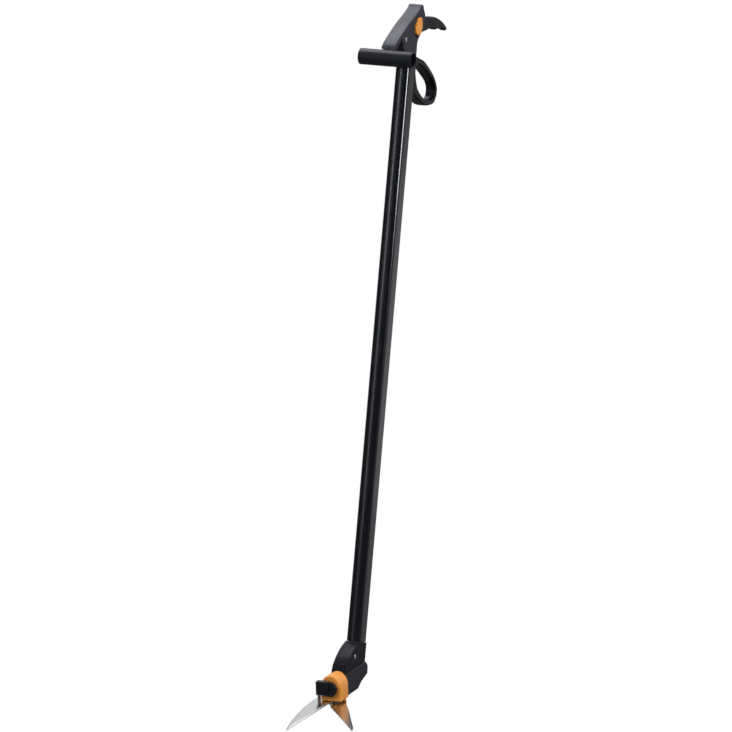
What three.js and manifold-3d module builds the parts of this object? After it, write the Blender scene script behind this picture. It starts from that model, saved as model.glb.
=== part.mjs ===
// Long handled grass and edging shears: a trigger at the top of a shaft pulls a link rod,
// a bell crank in the head turns that pull forward, and a slider swings the upper blade
// over the lower one. Millimetres, +Z up the shaft, -Y forward, +X to the right hand side.
import * as THREE from 'three';
import { mergeVertices } from 'three/addons/utils/BufferGeometryUtils.js';
import Module from 'manifold-3d';

const wasm = await Module();
wasm.setup();

// General fits and finishes
const fitGap = 0.3;
const slideGap = 0.5;
const cutOver = 2;
const roundSides = 32;
const smallSides = 20;
const curveSteps = 12;
const edgeSteps = 2;
const softEdgeSteps = 3;
const longLineSteps = 40;
const middleLineSteps = 18;
const shortLineSteps = 8;
const pinCrownShare = 0.7;
const screwCrownShare = 0.8;
const lastOverlap = 1;

// Shaft: a tube with a rounded front and flat sides, its middle at the origin
const shaftLength = 852;
const shaftWidth = 22;
const shaftDepth = 25;
const shaftWall = 1.8;
const shaftFrontRadius = 4.5;
const shaftRearRadius = 3;
const plugLength = 30;
const shaftTop = shaftLength / 2;
const shaftBottom = -shaftLength / 2;

// Grip frame, measured up from its base line and back from the shaft's axis
const gripSkirt = 14;
const gripBase = shaftTop + gripSkirt;
const gripRear = shaftDepth / 2;
const spineReach = 70;
const spineThick = 5;
const noseShare = 1.6;
const spineTopZ = 68.5;
const gripEdge = 1;
const slotWidth = 11;

// Crossbar under the front end of the spine
const barRadius = 12;
const barWall = 2;
const barLength = 84;
const barSetBack = 0.5;
const barY = barSetBack - spineReach;
const barDrop = 14.6;
const barZ = gripBase - barDrop;

// Trigger with its finger hook
const triggerThick = 10;
const triggerTravel = 10;
const pivotShare = 0.4543;
const pivotY = -pivotShare * spineReach;
const pivotRise = 14.2;
const pivotZ = gripBase + pivotRise;
const pivotPinRadius = 3;
const pivotHeadRadius = 3.8;
const pivotHeadThick = 1.2;
const pivotBossRadius = 9.5;
const hookReach = 130;
const roomToe = 2;
const roomFloor = 4;
const roomToeShare = 0.7;
const roomHeelShare = 0.92;
const forkRoomHalf = 6;

// Lock button on the right cheek
const lockShare = 0.143;
const lockY = lockShare * spineReach;
const lockRise = 36.5;
const lockLong = 27;
const lockWide = 20;
const lockTiltDegrees = 27;
const lockProud = 2;
const lockDepth = 2.6;
const lockTravel = 3;
const lockStemRadius = 2.5;
const lockCornerShare = 0.32;
const lockHeelShare = 1.4;

// Head: an axis that dips forward, round which the blade end turns
const headTilt = THREE.MathUtils.degToRad(17);
const headDrop = 47.7;
const headZ = shaftBottom - headDrop;
const headWidth = 24;
const headWall = 4.5;
const cavityWall = 1.2;
const headFront = 52.4;
const headCavity = headWidth - 2 * headWall;
const socketFloor = 4;
const socketHeel = 6;
const crankRoom = 3;
const rivetY = -27.7;
const rivetDrop = 22.9;
const rivetZ = shaftBottom - rivetDrop;
const seamHeight = 14.6;
const caseScrewAlongShare = 0.55;
const caseScrewTopShare = 1.7;
const screwSeatDepth = 4;
const spigotEnd = 70;
const spigotWall = 2;

// Bell crank: arms swing evenly to either side of their middle position
const crankSwing = THREE.MathUtils.degToRad(40);
const crankThick = 4;
const crankHub = 4.5;
const crankPinRadius = 2;
const slotPlayShare = 0.7;
const linkY = -2;
const linkRadius = 2.5;
const linkPinRadius = 1.5;
const cheekThick = 2;
const cheekGap = 0.4;
const forkReach = 11;
const forkRoot = 3;
const forkHalf = linkPinRadius + cheekThick;
const shankInset = 6;

// Collar, slider and blades, measured along the head's axis (forward), to the side and up
const collarLength = 29;
const collarHalfWidth = 16;
const collarTop = 19.5;
const collarBottom = 19.6;
const collarBore = 8.2;
const collarEdge = 2;
const collarCornerShare = 1.5;
const counterboreWall = 2;
const boltWayEnd = 4;
const footRadius = 3;
const spigotRadius = collarBore - fitGap;
const driveRadius = 3;
const hubRadius = 11.4;
const hubThick = 6;
const hubEdge = 1.5;
const hubBoreShare = 0.6;
const tabDepth = 9.5;
const tabReach = 19.5;
const tabHalfHeight = 8.75;
const tabWall = 1.2;
const webTopShare = 0.2;
const prongFront = 3;
const prongRear = 2.2;
const bladeThick = 2;
const bladePivot = 68.4;
const bladeSwing = THREE.MathUtils.degToRad(34);
const bladeReach = 165;
const bladeEdgeShare = 0.2;
const footSideShare = 0.0636;
const footBackShare = 0.0642;
const footSide = footSideShare * bladeReach;
const footAlong = bladePivot - footBackShare * bladeReach;
const postRadius = 2.5;
const postShare = 0.149;
const postOffset = postShare * bladeReach;
const postNeckShare = 0.8;
const postTopShare = 0.1;
const postPlay = 0.7;
const boltRadius = 3.5;
const boltHeadRadius = 7;
const boltHeadThick = 3;
const boltGrip = 8;
const bladeScrewGrip = 4;
const underCrownShare = 0.75;
const retainerThick = 1.5;

// Rear hand loop, a curved band
const loopThick = 6.5;
const loopWide = 20;
const loopNarrow = 16;
const loopReach = 106.6;
const loopHeight = 77;
const loopSeatDepth = 3;
const loopSeat = gripRear + fitGap + loopSeatDepth;
const loopScrewShares = [0.28, 0.5];

// Small fasteners
const screwRadius = 1.8;
const screwHeadRadius = 3.4;
const screwHeadThick = 1.6;
const rivetRadius = 3;
const rivetHeadRadius = 3.6;

// Return spring in the foot of the shaft
const springWire = 1.1;
const springRadius = 5.2;
const springTurns = 9;
const springPitch = 4.2;
const springRise = 20;
const springSides = 5;
const springStepsPerTurn = 8;
const ringThick = 3;
const stopThick = 4;

// Derived motion: how far each part goes when the trigger is squeezed home
const linkArm = linkY - pivotY;
const linkTravel = linkArm * Math.sin(THREE.MathUtils.degToRad(triggerTravel));
const slideTravel = postOffset * Math.sin(bladeSwing);
const armLink = linkTravel / (2 * Math.tan(crankSwing / 2));
const armDrive = slideTravel / (2 * Math.tan(crankSwing / 2));
const linkRestZ = pivotZ;

const forward = new THREE.Vector3(0, -Math.cos(headTilt), -Math.sin(headTilt));
const upward = new THREE.Vector3(0, -Math.sin(headTilt), Math.cos(headTilt));
const crankY = linkY + armLink;
const crankAlong = -(crankY + armDrive * Math.sin(headTilt)) / Math.cos(headTilt);
const crankCentre = headPoint(crankAlong, 0, armDrive);

// Places a point given along the head's axis, to the side and up from it
function headPoint(along, side, up) {
  return new THREE.Vector3(side, 0, headZ)
    .addScaledVector(forward, along)
    .addScaledVector(upward, up);
}

// The head's own frame: x to the side, y back along the axis, z up from it
function headMatrix() {
  const matrix = new THREE.Matrix4();
  matrix.makeRotationX(headTilt);
  matrix.setPosition(0, 0, headZ);
  return matrix;
}

// Solids in and out of the boolean library
function solid(geometry) {
  const bare = geometry.clone();
  bare.deleteAttribute('normal');
  bare.deleteAttribute('uv');
  const merged = mergeVertices(bare, 1e-4);
  return new wasm.Manifold(new wasm.Mesh({
    numProp: 3,
    vertProperties: new Float32Array(merged.attributes.position.array),
    triVerts: new Uint32Array(merged.index.array),
  }));
}

function geometryOf(body) {
  const mesh = body.getMesh();
  const geometry = new THREE.BufferGeometry();
  geometry.setAttribute('position', new THREE.BufferAttribute(mesh.vertProperties, 3));
  geometry.setIndex(new THREE.BufferAttribute(mesh.triVerts, 1));
  return geometry;
}

function cut(body, ...tools) {
  return tools.reduce((rest, tool) => rest.subtract(tool), body);
}

function join(...bodies) {
  return bodies.reduce((whole, body) => whole.add(body));
}

// Basic shapes
function box(x0, x1, y0, y1, z0, z1) {
  const geometry = new THREE.BoxGeometry(x1 - x0, y1 - y0, z1 - z0);
  geometry.translate((x0 + x1) / 2, (y0 + y1) / 2, (z0 + z1) / 2);
  return solid(geometry);
}

// A turned piece: profile pairs are radius and height, spun about the direction through the foot
function turned(profile, foot, direction, sides = roundSides) {
  const geometry = new THREE.LatheGeometry(profile.map(([r, h]) => new THREE.Vector2(r, h)), sides);
  const turn = new THREE.Quaternion().setFromUnitVectors(new THREE.Vector3(0, 1, 0), direction);
  geometry.applyQuaternion(turn);
  geometry.translate(foot.x, foot.y, foot.z);
  return solid(geometry);
}

function rod(radius, length, foot, direction, sides = roundSides) {
  return turned([[0, 0], [radius, 0], [radius, length], [0, length]], foot, direction, sides);
}

// A flat piece whose outline is drawn in y and z, as thick as the given width about x
function sidePlate(points, width, edge = 0, centreX = 0) {
  const shape = points instanceof THREE.Shape ? points : new THREE.Shape(spaced(points, 1.5 * edge));
  const geometry = new THREE.ExtrudeGeometry(shape, {
    depth: width - 2 * edge,
    bevelEnabled: edge > 0,
    bevelThickness: edge,
    bevelSize: edge,
    bevelOffset: -edge,
    bevelSegments: edgeSteps,
    curveSegments: curveSteps,
  });
  const cycle = new THREE.Matrix4().set(0, 0, 1, 0, 1, 0, 0, 0, 0, 1, 0, 0, 0, 0, 0, 1);
  geometry.translate(0, 0, edge - width / 2);
  geometry.applyMatrix4(cycle);
  geometry.translate(centreX, 0, 0);
  return solid(geometry);
}

// A flat piece drawn in x and y, thick along z from the given foot
function flatPlate(shape, foot, thick, edge = 0) {
  const geometry = new THREE.ExtrudeGeometry(shape, {
    depth: thick - 2 * edge,
    bevelEnabled: edge > 0,
    bevelThickness: edge,
    bevelSize: edge,
    bevelOffset: -edge,
    bevelSegments: edgeSteps,
    curveSegments: curveSteps,
  });
  geometry.translate(0, 0, foot + edge);
  return solid(geometry);
}

function vectors(pairs) {
  return pairs.map(([a, b]) => new THREE.Vector2(a, b));
}

// Points of a smooth line through the given ones
function smooth(pairs, steps) {
  return new THREE.SplineCurve(vectors(pairs)).getPoints(steps);
}

// Drops the points of a closed outline that lie closer together than the given step
function spaced(points, step) {
  const kept = [];
  for (const point of points) {
    const near = kept.some((other) => other.distanceTo(point) < Math.max(step, fitGap));
    if (!near) kept.push(point);
  }
  return kept;
}

// The shaft's section, made smaller on every side by the inset
function shaftSection(inset) {
  const half = shaftWidth / 2 - inset;
  const front = shaftDepth / 2 - inset;
  const frontRound = shaftFrontRadius - inset;
  const rearRound = Math.max(shaftRearRadius - inset, fitGap);
  const shape = new THREE.Shape();
  shape.moveTo(half, front - rearRound);
  shape.absarc(half - rearRound, front - rearRound, rearRound, 0, Math.PI / 2, false);
  shape.absarc(rearRound - half, front - rearRound, rearRound, Math.PI / 2, Math.PI, false);
  shape.absarc(frontRound - half, frontRound - front, frontRound, Math.PI, Math.PI * 1.5, false);
  shape.absarc(half - frontRound, frontRound - front, frontRound, Math.PI * 1.5, Math.PI * 2, false);
  return shape;
}

const across = new THREE.Vector3(1, 0, 0);
const up = new THREE.Vector3(0, 0, 1);

// Shaft tube
function shaftTube() {
  const tube = flatPlate(shaftSection(0), shaftBottom, shaftLength);
  const bore = flatPlate(shaftSection(shaftWall), shaftBottom - cutOver, shaftLength + 2 * cutOver);
  return cut(tube, bore);
}

// Spine: the palm rest, from the crossbar up to the top of the grip
const spineTopShares = [
  [-1, -0.02], [-0.94, 0.08], [-0.805, 0.208], [-0.632, 0.345], [-0.457, 0.477], [-0.258, 0.612],
  [-0.055, 0.74], [0.1, 0.845], [0.205, 0.93], [0.255, 0.985], [0.29, 1], [0.32, 0.993], [0.342, 0.962],
];

function gripPlace([y, z]) {
  return [y * spineReach, gripBase + z * spineTopZ];
}

function spineLine() {
  return smooth(spineTopShares.map(gripPlace), 2 * middleLineSteps);
}

const cheekRearShares = [
  [0.36, 0.93], [0.48, 0.755], [0.445, 0.58], [0.37, 0.43], [0.26, 0.32], [0.19, 0.22], [0.171, 0.146],
];

function gripOutline() {
  const top = spineLine();
  const rear = smooth(cheekRearShares.map(gripPlace), curveSteps);
  const frontFoot = pivotY - pivotBossRadius / 2;
  return [
    ...top,
    ...rear,
    ...vectors([
      [gripRear, gripBase],
      [gripRear, shaftTop + fitGap],
      [-gripRear, shaftTop + fitGap],
      [-gripRear, gripBase - gripSkirt / 2],
      [frontFoot, gripBase],
      [pivotY - pivotBossRadius, pivotZ],
      [pivotY - pivotBossRadius, pivotZ + pivotBossRadius / 2],
    ]),
    new THREE.Vector2(spineThick * noseShare - spineReach, gripBase - spineThick / 2),
  ];
}

function gripFrame() {
  const outer = sidePlate(gripOutline(), shaftWidth, gripEdge);
  const plug = flatPlate(shaftSection(shaftWall + fitGap), shaftTop - plugLength, plugLength + gripSkirt);
  const slot = sidePlate(triggerRoom(), slotWidth);
  const rodWay = rod(linkRadius + 1.5 * slideGap, plugLength + pivotRise + gripSkirt + cutOver,
    new THREE.Vector3(0, linkY, shaftTop - plugLength - cutOver), up, smallSides);
  const pinHole = rod(pivotPinRadius + fitGap / 2, shaftWidth + 2 * cutOver,
    new THREE.Vector3(-shaftWidth / 2 - cutOver, pivotY, pivotZ), across);
  const seat = rod(barRadius + fitGap, barLength, new THREE.Vector3(-barLength / 2, barY, barZ), across);
  const screwWay = rod(screwRadius + fitGap / 2, barRadius + spineThick,
    new THREE.Vector3(0, barY, barZ), up, smallSides);
  return cut(join(outer, plug), slot, rodWay, pinHole, seat, screwWay, lockPocket(), linkForkRoom());
}

// Room inside the grip for the trigger at rest and squeezed
const roomTopShares = [[-0.56, 0.31], [-0.3, 0.49], [0, 0.66], [0.2, 0.81], [0.3, 0.92]];

function triggerRoom() {
  const top = smooth(roomTopShares.map(gripPlace), shortLineSteps);
  return [
    ...top,
    ...vectors([
      [spineReach, gripBase + spineTopZ * roomHeelShare],
      [spineReach, gripBase + pivotRise],
      [gripRear, gripBase + pivotRise / 2],
      [gripRear - shaftWall * 2, gripBase],
      [pivotY - roomToe, gripBase + roomFloor],
      [pivotY - pivotBossRadius + spineThick / 4, gripBase + pivotRise * roomToeShare],
    ]),
  ];
}

function linkForkRoom() {
  const half = crankThick / 2 + cheekThick + cheekGap + fitGap;
  const side = Math.max(half, slotWidth / 2);
  return box(-side, side, linkY - forkRoomHalf, linkY + forkRoomHalf, gripBase - gripSkirt / 2,
    gripBase + pivotRise);
}

// Crossbar
function crossbarTube() {
  const foot = new THREE.Vector3(-barLength / 2, barY, barZ);
  const inner = barRadius - barWall;
  const profile = [[inner, 0], [barRadius, 0], [barRadius, barLength], [inner, barLength], [inner, 0]];
  const screwWay = rod(screwRadius + fitGap / 2, barRadius + cutOver,
    new THREE.Vector3(0, barY, barZ), up, smallSides);
  return cut(turned(profile, foot, across, roundSides), screwWay);
}

function crossbarScrew() {
  const foot = new THREE.Vector3(0, barY, barZ + barRadius - barWall - screwHeadThick - 3 * fitGap);
  const head = rod(screwHeadRadius * screwCrownShare, screwHeadThick, foot, up, smallSides);
  const reach = screwHeadThick + 3 * fitGap + barWall + spineThick / 2;
  const shank = rod(screwRadius, reach, foot, up, smallSides);
  return join(head, shank);
}

// Trigger: a lever pinned at the front of the grip, its hook behind for the fingers
const hookTopShares = [
  [0.303, 3.6], [0.478, 3.7], [0.635, 3.73], [0.765, 3.57], [0.847, 3.38], [0.902, 3.2],
  [0.95, 3.0], [0.985, 2.81], [1, 2.61],
];
const hookUnderShares = [
  [0.971, 2.44], [0.9, 2.55], [0.823, 2.62], [0.75, 2.53], [0.68, 2.415], [0.62, 2.49],
  [0.57, 2.53], [0.5, 2.42], [0.425, 2.21], [0.3, 2.0], [0.203, 1.9], [0.128, 1.48],
  [0.075, 0.915], [0, 0.6],
];

const armTopShares = [[-0.2, 1.6], [-0.1, 1.85], [0.01, 2.2], [0.11, 2.6], [0.21, 3.15]];

function triggerOutline() {
  const place = ([y, z]) => [y * hookReach, gripBase + z * pivotRise];
  const under = smooth(hookUnderShares.map(place), longLineSteps);
  const upper = smooth([...armTopShares, ...hookTopShares].map(place), longLineSteps);
  const boss = [];
  for (let step = 0; step <= smallSides / 2; step += 1) {
    const angle = -Math.PI / 2 - Math.PI * step / (smallSides / 2);
    const reach = pivotBossRadius - 1.5 * slideGap - gripEdge;
    boss.push(new THREE.Vector2(pivotY + reach * Math.cos(angle), pivotZ + reach * Math.sin(angle)));
  }
  return [...boss, ...upper, ...under];
}

function trigger() {
  const lever = sidePlate(triggerOutline(), triggerThick, gripEdge);
  const bore = rod(pivotPinRadius + fitGap / 2, slotWidth,
    new THREE.Vector3(-slotWidth / 2, pivotY, pivotZ), across);
  const web = crankThick / 2;
  const pocket = linkPocket(web, slotWidth);
  const otherPocket = linkPocket(-slotWidth, -web);
  return cut(lever, bore, pocket, otherPocket, linkSlot(linkY, linkRestZ, slotWidth, 2 * slideGap, slideGap));
}

// Side pockets that let the link rod's fork reach the trigger's web
function linkPocket(x0, x1) {
  const half = linkPinRadius + cheekThick + 3 * slideGap;
  return box(x0, x1, linkY - half, linkY + half, linkRestZ - pivotRise,
    linkRestZ + linkTravel + half + 2 * slideGap);
}

// A slot across the arm for a pin, longer along y
function linkSlot(y, z, width, playY, playZ) {
  const r = linkPinRadius;
  return box(-width / 2, width / 2, y - r - playY, y + r + playY, z - r - playZ, z + r + playZ);
}

function headedPin(radius, headRadius, headThick, reach, y, z) {
  const foot = new THREE.Vector3(-reach / 2 - fitGap - headThick, y, z);
  const full = reach + 2 * (fitGap + headThick);
  const profile = [
    [0, 0], [headRadius * pinCrownShare, 0], [headRadius, headThick / 2], [headRadius, headThick],
    [radius, headThick], [radius, full - headThick], [headRadius, full - headThick],
    [headRadius, full - headThick / 2], [headRadius * pinCrownShare, full], [0, full],
  ];
  return turned(profile, foot, across, smallSides);
}

// Lock button, tilted with the grip
function lockShape(grow, stretch) {
  const half = lockWide / 2 + grow;
  const long = lockLong / 2 + grow;
  const corner = lockWide * lockCornerShare;
  const pairs = [
    [-half + corner, -long - stretch], [half - corner, -long - stretch], [half, -long + corner - stretch],
    [half, long - corner * lockHeelShare], [half - corner * lockHeelShare, long], [-half + corner, long],
    [-half, long - corner], [-half, -long + corner - stretch],
  ];
  const tilt = THREE.MathUtils.degToRad(-lockTiltDegrees);
  const centre = new THREE.Vector2(lockY, gripBase + lockRise);
  return vectors(pairs).map((point) => point.rotateAround(new THREE.Vector2(), tilt).add(centre));
}

const lockSlide = new THREE.Vector3(0, -Math.sin(THREE.MathUtils.degToRad(lockTiltDegrees)),
  -Math.cos(THREE.MathUtils.degToRad(lockTiltDegrees)));

function lockPocket() {
  const face = shaftWidth / 2;
  const recess = sidePlate(lockShape(slideGap, lockTravel + slideGap), lockDepth + cutOver, 0,
    face + (cutOver - lockDepth) / 2);
  const long = lockSlide.clone().multiplyScalar(lockTravel + slideGap);
  const ways = [0, 0.5, 1].map((part) => rod(lockStemRadius + slideGap, face,
    new THREE.Vector3(slotWidth / 2 - cutOver, lockY + long.y * part, gripBase + lockRise + long.z * part),
    across, smallSides));
  return join(recess, ...ways);
}

function lockButton() {
  const face = shaftWidth / 2;
  const thick = lockDepth - fitGap + lockProud;
  const plate = sidePlate(lockShape(0, 0), thick, lockProud / 2, face - lockDepth + fitGap + thick / 2);
  const inner = slotWidth / 2 + fitGap;
  const stem = rod(lockStemRadius, face - inner, new THREE.Vector3(inner, lockY, gripBase + lockRise),
    across, smallSides);
  return join(plate, stem);
}

// Link rod through the shaft, a fork at each end
const linkFootZ = crankCentre.z - armLink * Math.tan(crankSwing / 2);

function fork(y, z, towards) {
  const half = crankThick / 2 + cheekGap;
  const low = Math.min(-forkHalf * towards, forkReach * towards);
  const high = Math.max(-forkHalf * towards, forkReach * towards);
  const block = box(-half - cheekThick, half + cheekThick, y - forkHalf, y + forkHalf, z + low, z + high);
  const gapLow = Math.min(-(forkHalf + cutOver) * towards, (forkReach - forkRoot) * towards);
  const gapHigh = Math.max(-(forkHalf + cutOver) * towards, (forkReach - forkRoot) * towards);
  const gap = box(-half, half, y - forkHalf - cutOver, y + forkHalf + cutOver, z + gapLow, z + gapHigh);
  const hole = rod(linkPinRadius + fitGap / 2, 2 * (half + cheekThick + cutOver),
    new THREE.Vector3(-half - cheekThick - cutOver, y, z), across, smallSides);
  return cut(block, gap, hole);
}

function linkRod() {
  const low = linkFootZ + forkReach - lastOverlap;
  const high = linkRestZ - forkReach + lastOverlap;
  const middle = rod(linkRadius, high - low, new THREE.Vector3(0, linkY, low), up, smallSides);
  return join(middle, fork(linkY, linkRestZ, -1), fork(linkY, linkFootZ, 1));
}

function linkPin(y, z) {
  const reach = crankThick + 2 * (cheekGap + cheekThick);
  return rod(linkPinRadius, reach, new THREE.Vector3(-reach / 2, y, z), across, smallSides);
}

// Return spring round the link rod, between a ring on the rod and a stop in the shaft
const springFootZ = shaftBottom + plugLength + springRise;
const springTopZ = springFootZ + springTurns * springPitch + 2 * springWire;

function springRing() {
  const outer = springRadius + springWire / 2;
  const inner = linkRadius + fitGap / 6;
  return turned([[inner, 0], [outer, 0], [outer, ringThick], [inner, ringThick], [inner, 0]],
    new THREE.Vector3(0, linkY, springFootZ - ringThick - fitGap), up, smallSides);
}

function springStop() {
  const plate = flatPlate(shaftSection(shaftWall + fitGap), springTopZ + fitGap, stopThick);
  const way = rod(linkRadius + slideGap, 2 * stopThick, new THREE.Vector3(0, linkY, springTopZ - cutOver),
    up, smallSides);
  return cut(plate, way);
}

function springCentre(t) {
  const turns = springTurns * t;
  const angle = turns * Math.PI * 2;
  const reach = springRadius - springWire / 2;
  return new THREE.Vector3(reach * Math.cos(angle), linkY + reach * Math.sin(angle),
    springFootZ + springWire / 2 + t * (springTopZ - springFootZ - springWire));
}

function returnSpring() {
  const steps = springTurns * springStepsPerTurn;
  const sides = springSides;
  const positions = [];
  const triangles = [];
  for (let step = 0; step <= steps; step += 1) {
    const t = step / steps;
    const centre = springCentre(t);
    const out = new THREE.Vector3(centre.x, centre.y - linkY, 0).normalize();
    for (let side = 0; side < sides; side += 1) {
      const angle = side / sides * Math.PI * 2;
      const point = centre.clone()
        .addScaledVector(out, springWire / 2 * Math.cos(angle))
        .addScaledVector(up, springWire / 2 * Math.sin(angle));
      positions.push(point.x, point.y, point.z);
    }
  }
  for (let step = 0; step < steps; step += 1) {
    for (let side = 0; side < sides; side += 1) {
      const here = step * sides + side;
      const beside = step * sides + (side + 1) % sides;
      triangles.push(here, here + sides, beside, beside, here + sides, beside + sides);
    }
  }
  for (let side = 1; side < sides - 1; side += 1) {
    triangles.push(0, side, side + 1);
    triangles.push(steps * sides, steps * sides + side + 1, steps * sides + side);
  }
  const geometry = new THREE.BufferGeometry();
  geometry.setAttribute('position', new THREE.Float32BufferAttribute(positions, 3));
  geometry.setIndex(triangles);
  return geometry;
}

// Head parts are drawn in the head's own frame and then tilted into place
function inHead(body) {
  return body.transform(Array.from(headMatrix().elements));
}

const ahead = new THREE.Vector3(0, -1, 0);

function local(along, side, height) {
  return new THREE.Vector3(side, -along, height);
}

// Socket above a seam that is level with the head's axis
const socketFrontShares = [[-0.26, -0.03], [-0.52, -0.21], [-0.8, -0.5], [-0.98, -0.76]];

function socketOutline() {
  const along = headFront;
  const place = ([y, z]) => [y * along, shaftBottom + z * headDrop];
  const front = smooth(socketFrontShares.map(place), curveSteps);
  const seamFront = headPoint(headFront, 0, seamHeight + fitGap / 2);
  const seamRear = headPoint(-(shaftDepth / 2) / Math.cos(headTilt) - seamHeight * Math.sin(headTilt), 0,
    seamHeight + fitGap / 2);
  return [
    new THREE.Vector2(gripRear, shaftBottom - fitGap),
    new THREE.Vector2(-gripRear, shaftBottom - fitGap),
    ...front,
    new THREE.Vector2(seamFront.y, seamFront.z),
    new THREE.Vector2(seamRear.y, seamRear.z),
    new THREE.Vector2(gripRear, seamRear.z + socketHeel),
  ];
}

function headSocket() {
  const outer = sidePlate(socketOutline(), headWidth, gripEdge);
  const plug = flatPlate(shaftSection(shaftWall + fitGap), shaftBottom - socketFloor,
    plugLength + socketFloor);
  const rodWay = rod(linkRadius + 2 * slideGap, plugLength + headDrop,
    new THREE.Vector3(0, linkY, shaftBottom - headDrop / 2), up, smallSides);
  const half = headCavity / 2;
  const cavity = box(-half, half, crankCentre.y - armLink - crankHub - crankRoom, gripRear - cavityWall,
    headZ, crankCentre.z + crankHub + forkReach - lastOverlap);
  const pin = crankPinHole();
  const rivetWay = rod(rivetRadius + fitGap / 2, headWidth + 2 * cutOver,
    new THREE.Vector3(-headWidth / 2 - cutOver, rivetY, rivetZ), across);
  const screws = caseScrewPlaces().map(([side, along]) => inHead(
    rod(screwRadius + fitGap / 2, 2 * seamHeight, local(along, side, 0), up, smallSides),
  ));
  return cut(join(outer, plug), rodWay, cavity, pin, rivetWay, ...screws);
}

function crankPinHole() {
  return rod(crankPinRadius + fitGap / 3, headCavity + headWall,
    new THREE.Vector3(-(headCavity + headWall) / 2, crankCentre.y, crankCentre.z), across, smallSides);
}

function caseScrewPlaces() {
  const side = headWidth / 2 - screwHeadRadius - fitGap * 4;
  const along = headFront * caseScrewAlongShare;
  return [[-side, along], [side, along]];
}

// Gear case under the seam, with the spigot that the collar turns on
const caseRearShares = [[-0.376, 0.74], [-0.49, 0.45], [-0.51, 0.16], [-0.47, -0.27]];
const caseFloorShares = [[-0.05, -0.6], [0.19, -0.97], [0.8, -1], [1, -1]];

function gearCase() {
  const reach = headFront;
  const height = collarBottom;
  const top = seamHeight - fitGap / 2;
  const place = ([along, z]) => [-along * reach, Math.min(z * height, top)];
  const outline = [
    new THREE.Vector2(-reach, top),
    ...smooth(caseRearShares.map(place), shortLineSteps),
    ...vectors(caseFloorShares.map(place)),
  ].reverse();
  const body = sidePlate(outline, headWidth, gripEdge);
  const spigotLength = spigotEnd - headFront;
  const neckLength = spigotLength + retainerThick + 2 * fitGap;
  const neck = spigotRadius - spigotWall;
  const spigot = turned([[0, -cutOver], [spigotRadius, -cutOver], [spigotRadius, spigotLength],
    [neck, spigotLength], [neck, neckLength], [0, neckLength]], local(headFront, 0, 0), ahead);
  const wayLength = spigotEnd + retainerThick + 4 * cutOver;
  const way = rod(driveRadius + slideGap, wayLength, local(-cutOver, 0, 0), ahead);
  const half = headCavity / 2;
  const rearWall = driveStart + forkHalf + slideGap + fitGap;
  const frontWall = driveStart - slideTravel - forkReach - slideGap;
  const floor = forkHalf + slideGap + fitGap;
  const cavity = box(-half, half, frontWall, rearWall, -floor, seamHeight + cutOver);
  const screws = caseScrewPlaces().flatMap(([side, along]) => [
    rod(screwRadius + fitGap / 2, 3 * height, local(along, side, -2 * height), up, smallSides),
    rod(screwHeadRadius + fitGap, height, local(along, side, screwSeatDepth - 2 * height), up, smallSides),
  ]);
  return cut(inHead(cut(join(body, spigot), way, cavity, ...screws)), crankPinHole());
}

function caseScrew([side, along]) {
  const seat = -collarBottom + screwSeatDepth - fitGap;
  const tip = seamHeight * caseScrewTopShare;
  const profile = [[0, seat - screwHeadThick], [screwHeadRadius, seat - screwHeadThick],
    [screwHeadRadius, seat], [screwRadius, seat], [screwRadius, tip], [0, tip]];
  return inHead(turned(profile, local(along, side, 0), up, smallSides));
}

// Bell crank, drawn in y and z at its rest position
function crankPoint(angle, reach) {
  return new THREE.Vector2(crankCentre.y + reach * Math.cos(angle), crankCentre.z + reach * Math.sin(angle));
}

const linkAngle = Math.PI + crankSwing / 2;
const driveAngle = Math.PI * 1.5 + headTilt + crankSwing / 2;

function arm(angle, reach, play) {
  const end = crankPoint(angle, reach + play);
  const side = new THREE.Vector2(-Math.sin(angle), Math.cos(angle));
  const wide = linkPinRadius + 3 * slideGap;
  const corners = [
    crankPoint(angle, 0).addScaledVector(side, -wide),
    end.clone().addScaledVector(side, -wide),
    end.clone().addScaledVector(side, wide),
    crankPoint(angle, 0).addScaledVector(side, wide),
  ];
  const slotOf = (from, to, half) => sidePlate([
    crankPoint(angle, from).addScaledVector(side, -half),
    crankPoint(angle, to).addScaledVector(side, -half),
    crankPoint(angle, to).addScaledVector(side, half),
    crankPoint(angle, from).addScaledVector(side, half),
  ], crankThick + cutOver);
  const half = linkPinRadius + slotPlayShare * slideGap;
  const slotFoot = reach - linkPinRadius - slideGap;
  return cut(sidePlate(corners, crankThick), slotOf(slotFoot, reach + play + cutOver, half));
}

function bellCrank() {
  const hubSide = new THREE.Vector3(-crankThick / 2, crankCentre.y, crankCentre.z);
  const hub = rod(crankHub, crankThick, hubSide, across);
  const bore = rod(crankPinRadius + fitGap / 3, crankThick + cutOver,
    new THREE.Vector3(-crankThick / 2 - cutOver / 2, crankCentre.y, crankCentre.z), across, smallSides);
  const linkPlay = linkPinRadius + 2 * slideGap;
  const drivePlay = linkPinRadius + 4 * slideGap;
  return cut(join(hub, arm(linkAngle, armLink, linkPlay), arm(driveAngle, armDrive, drivePlay)), bore);
}

function crankPin() {
  const reach = headCavity + headWall - 2 * fitGap;
  return rod(crankPinRadius, reach, new THREE.Vector3(-reach / 2, crankCentre.y, crankCentre.z), across,
    smallSides);
}

// Drive rod along the head's axis
const hubFoot = headFront + fitGap + collarLength + fitGap;
const driveEnd = hubFoot + hubThick * hubBoreShare;
const driveStart = armDrive * Math.tan(crankSwing / 2) - crankAlong;
const drivePinPlace = headPoint(-driveStart, 0, 0);

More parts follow.
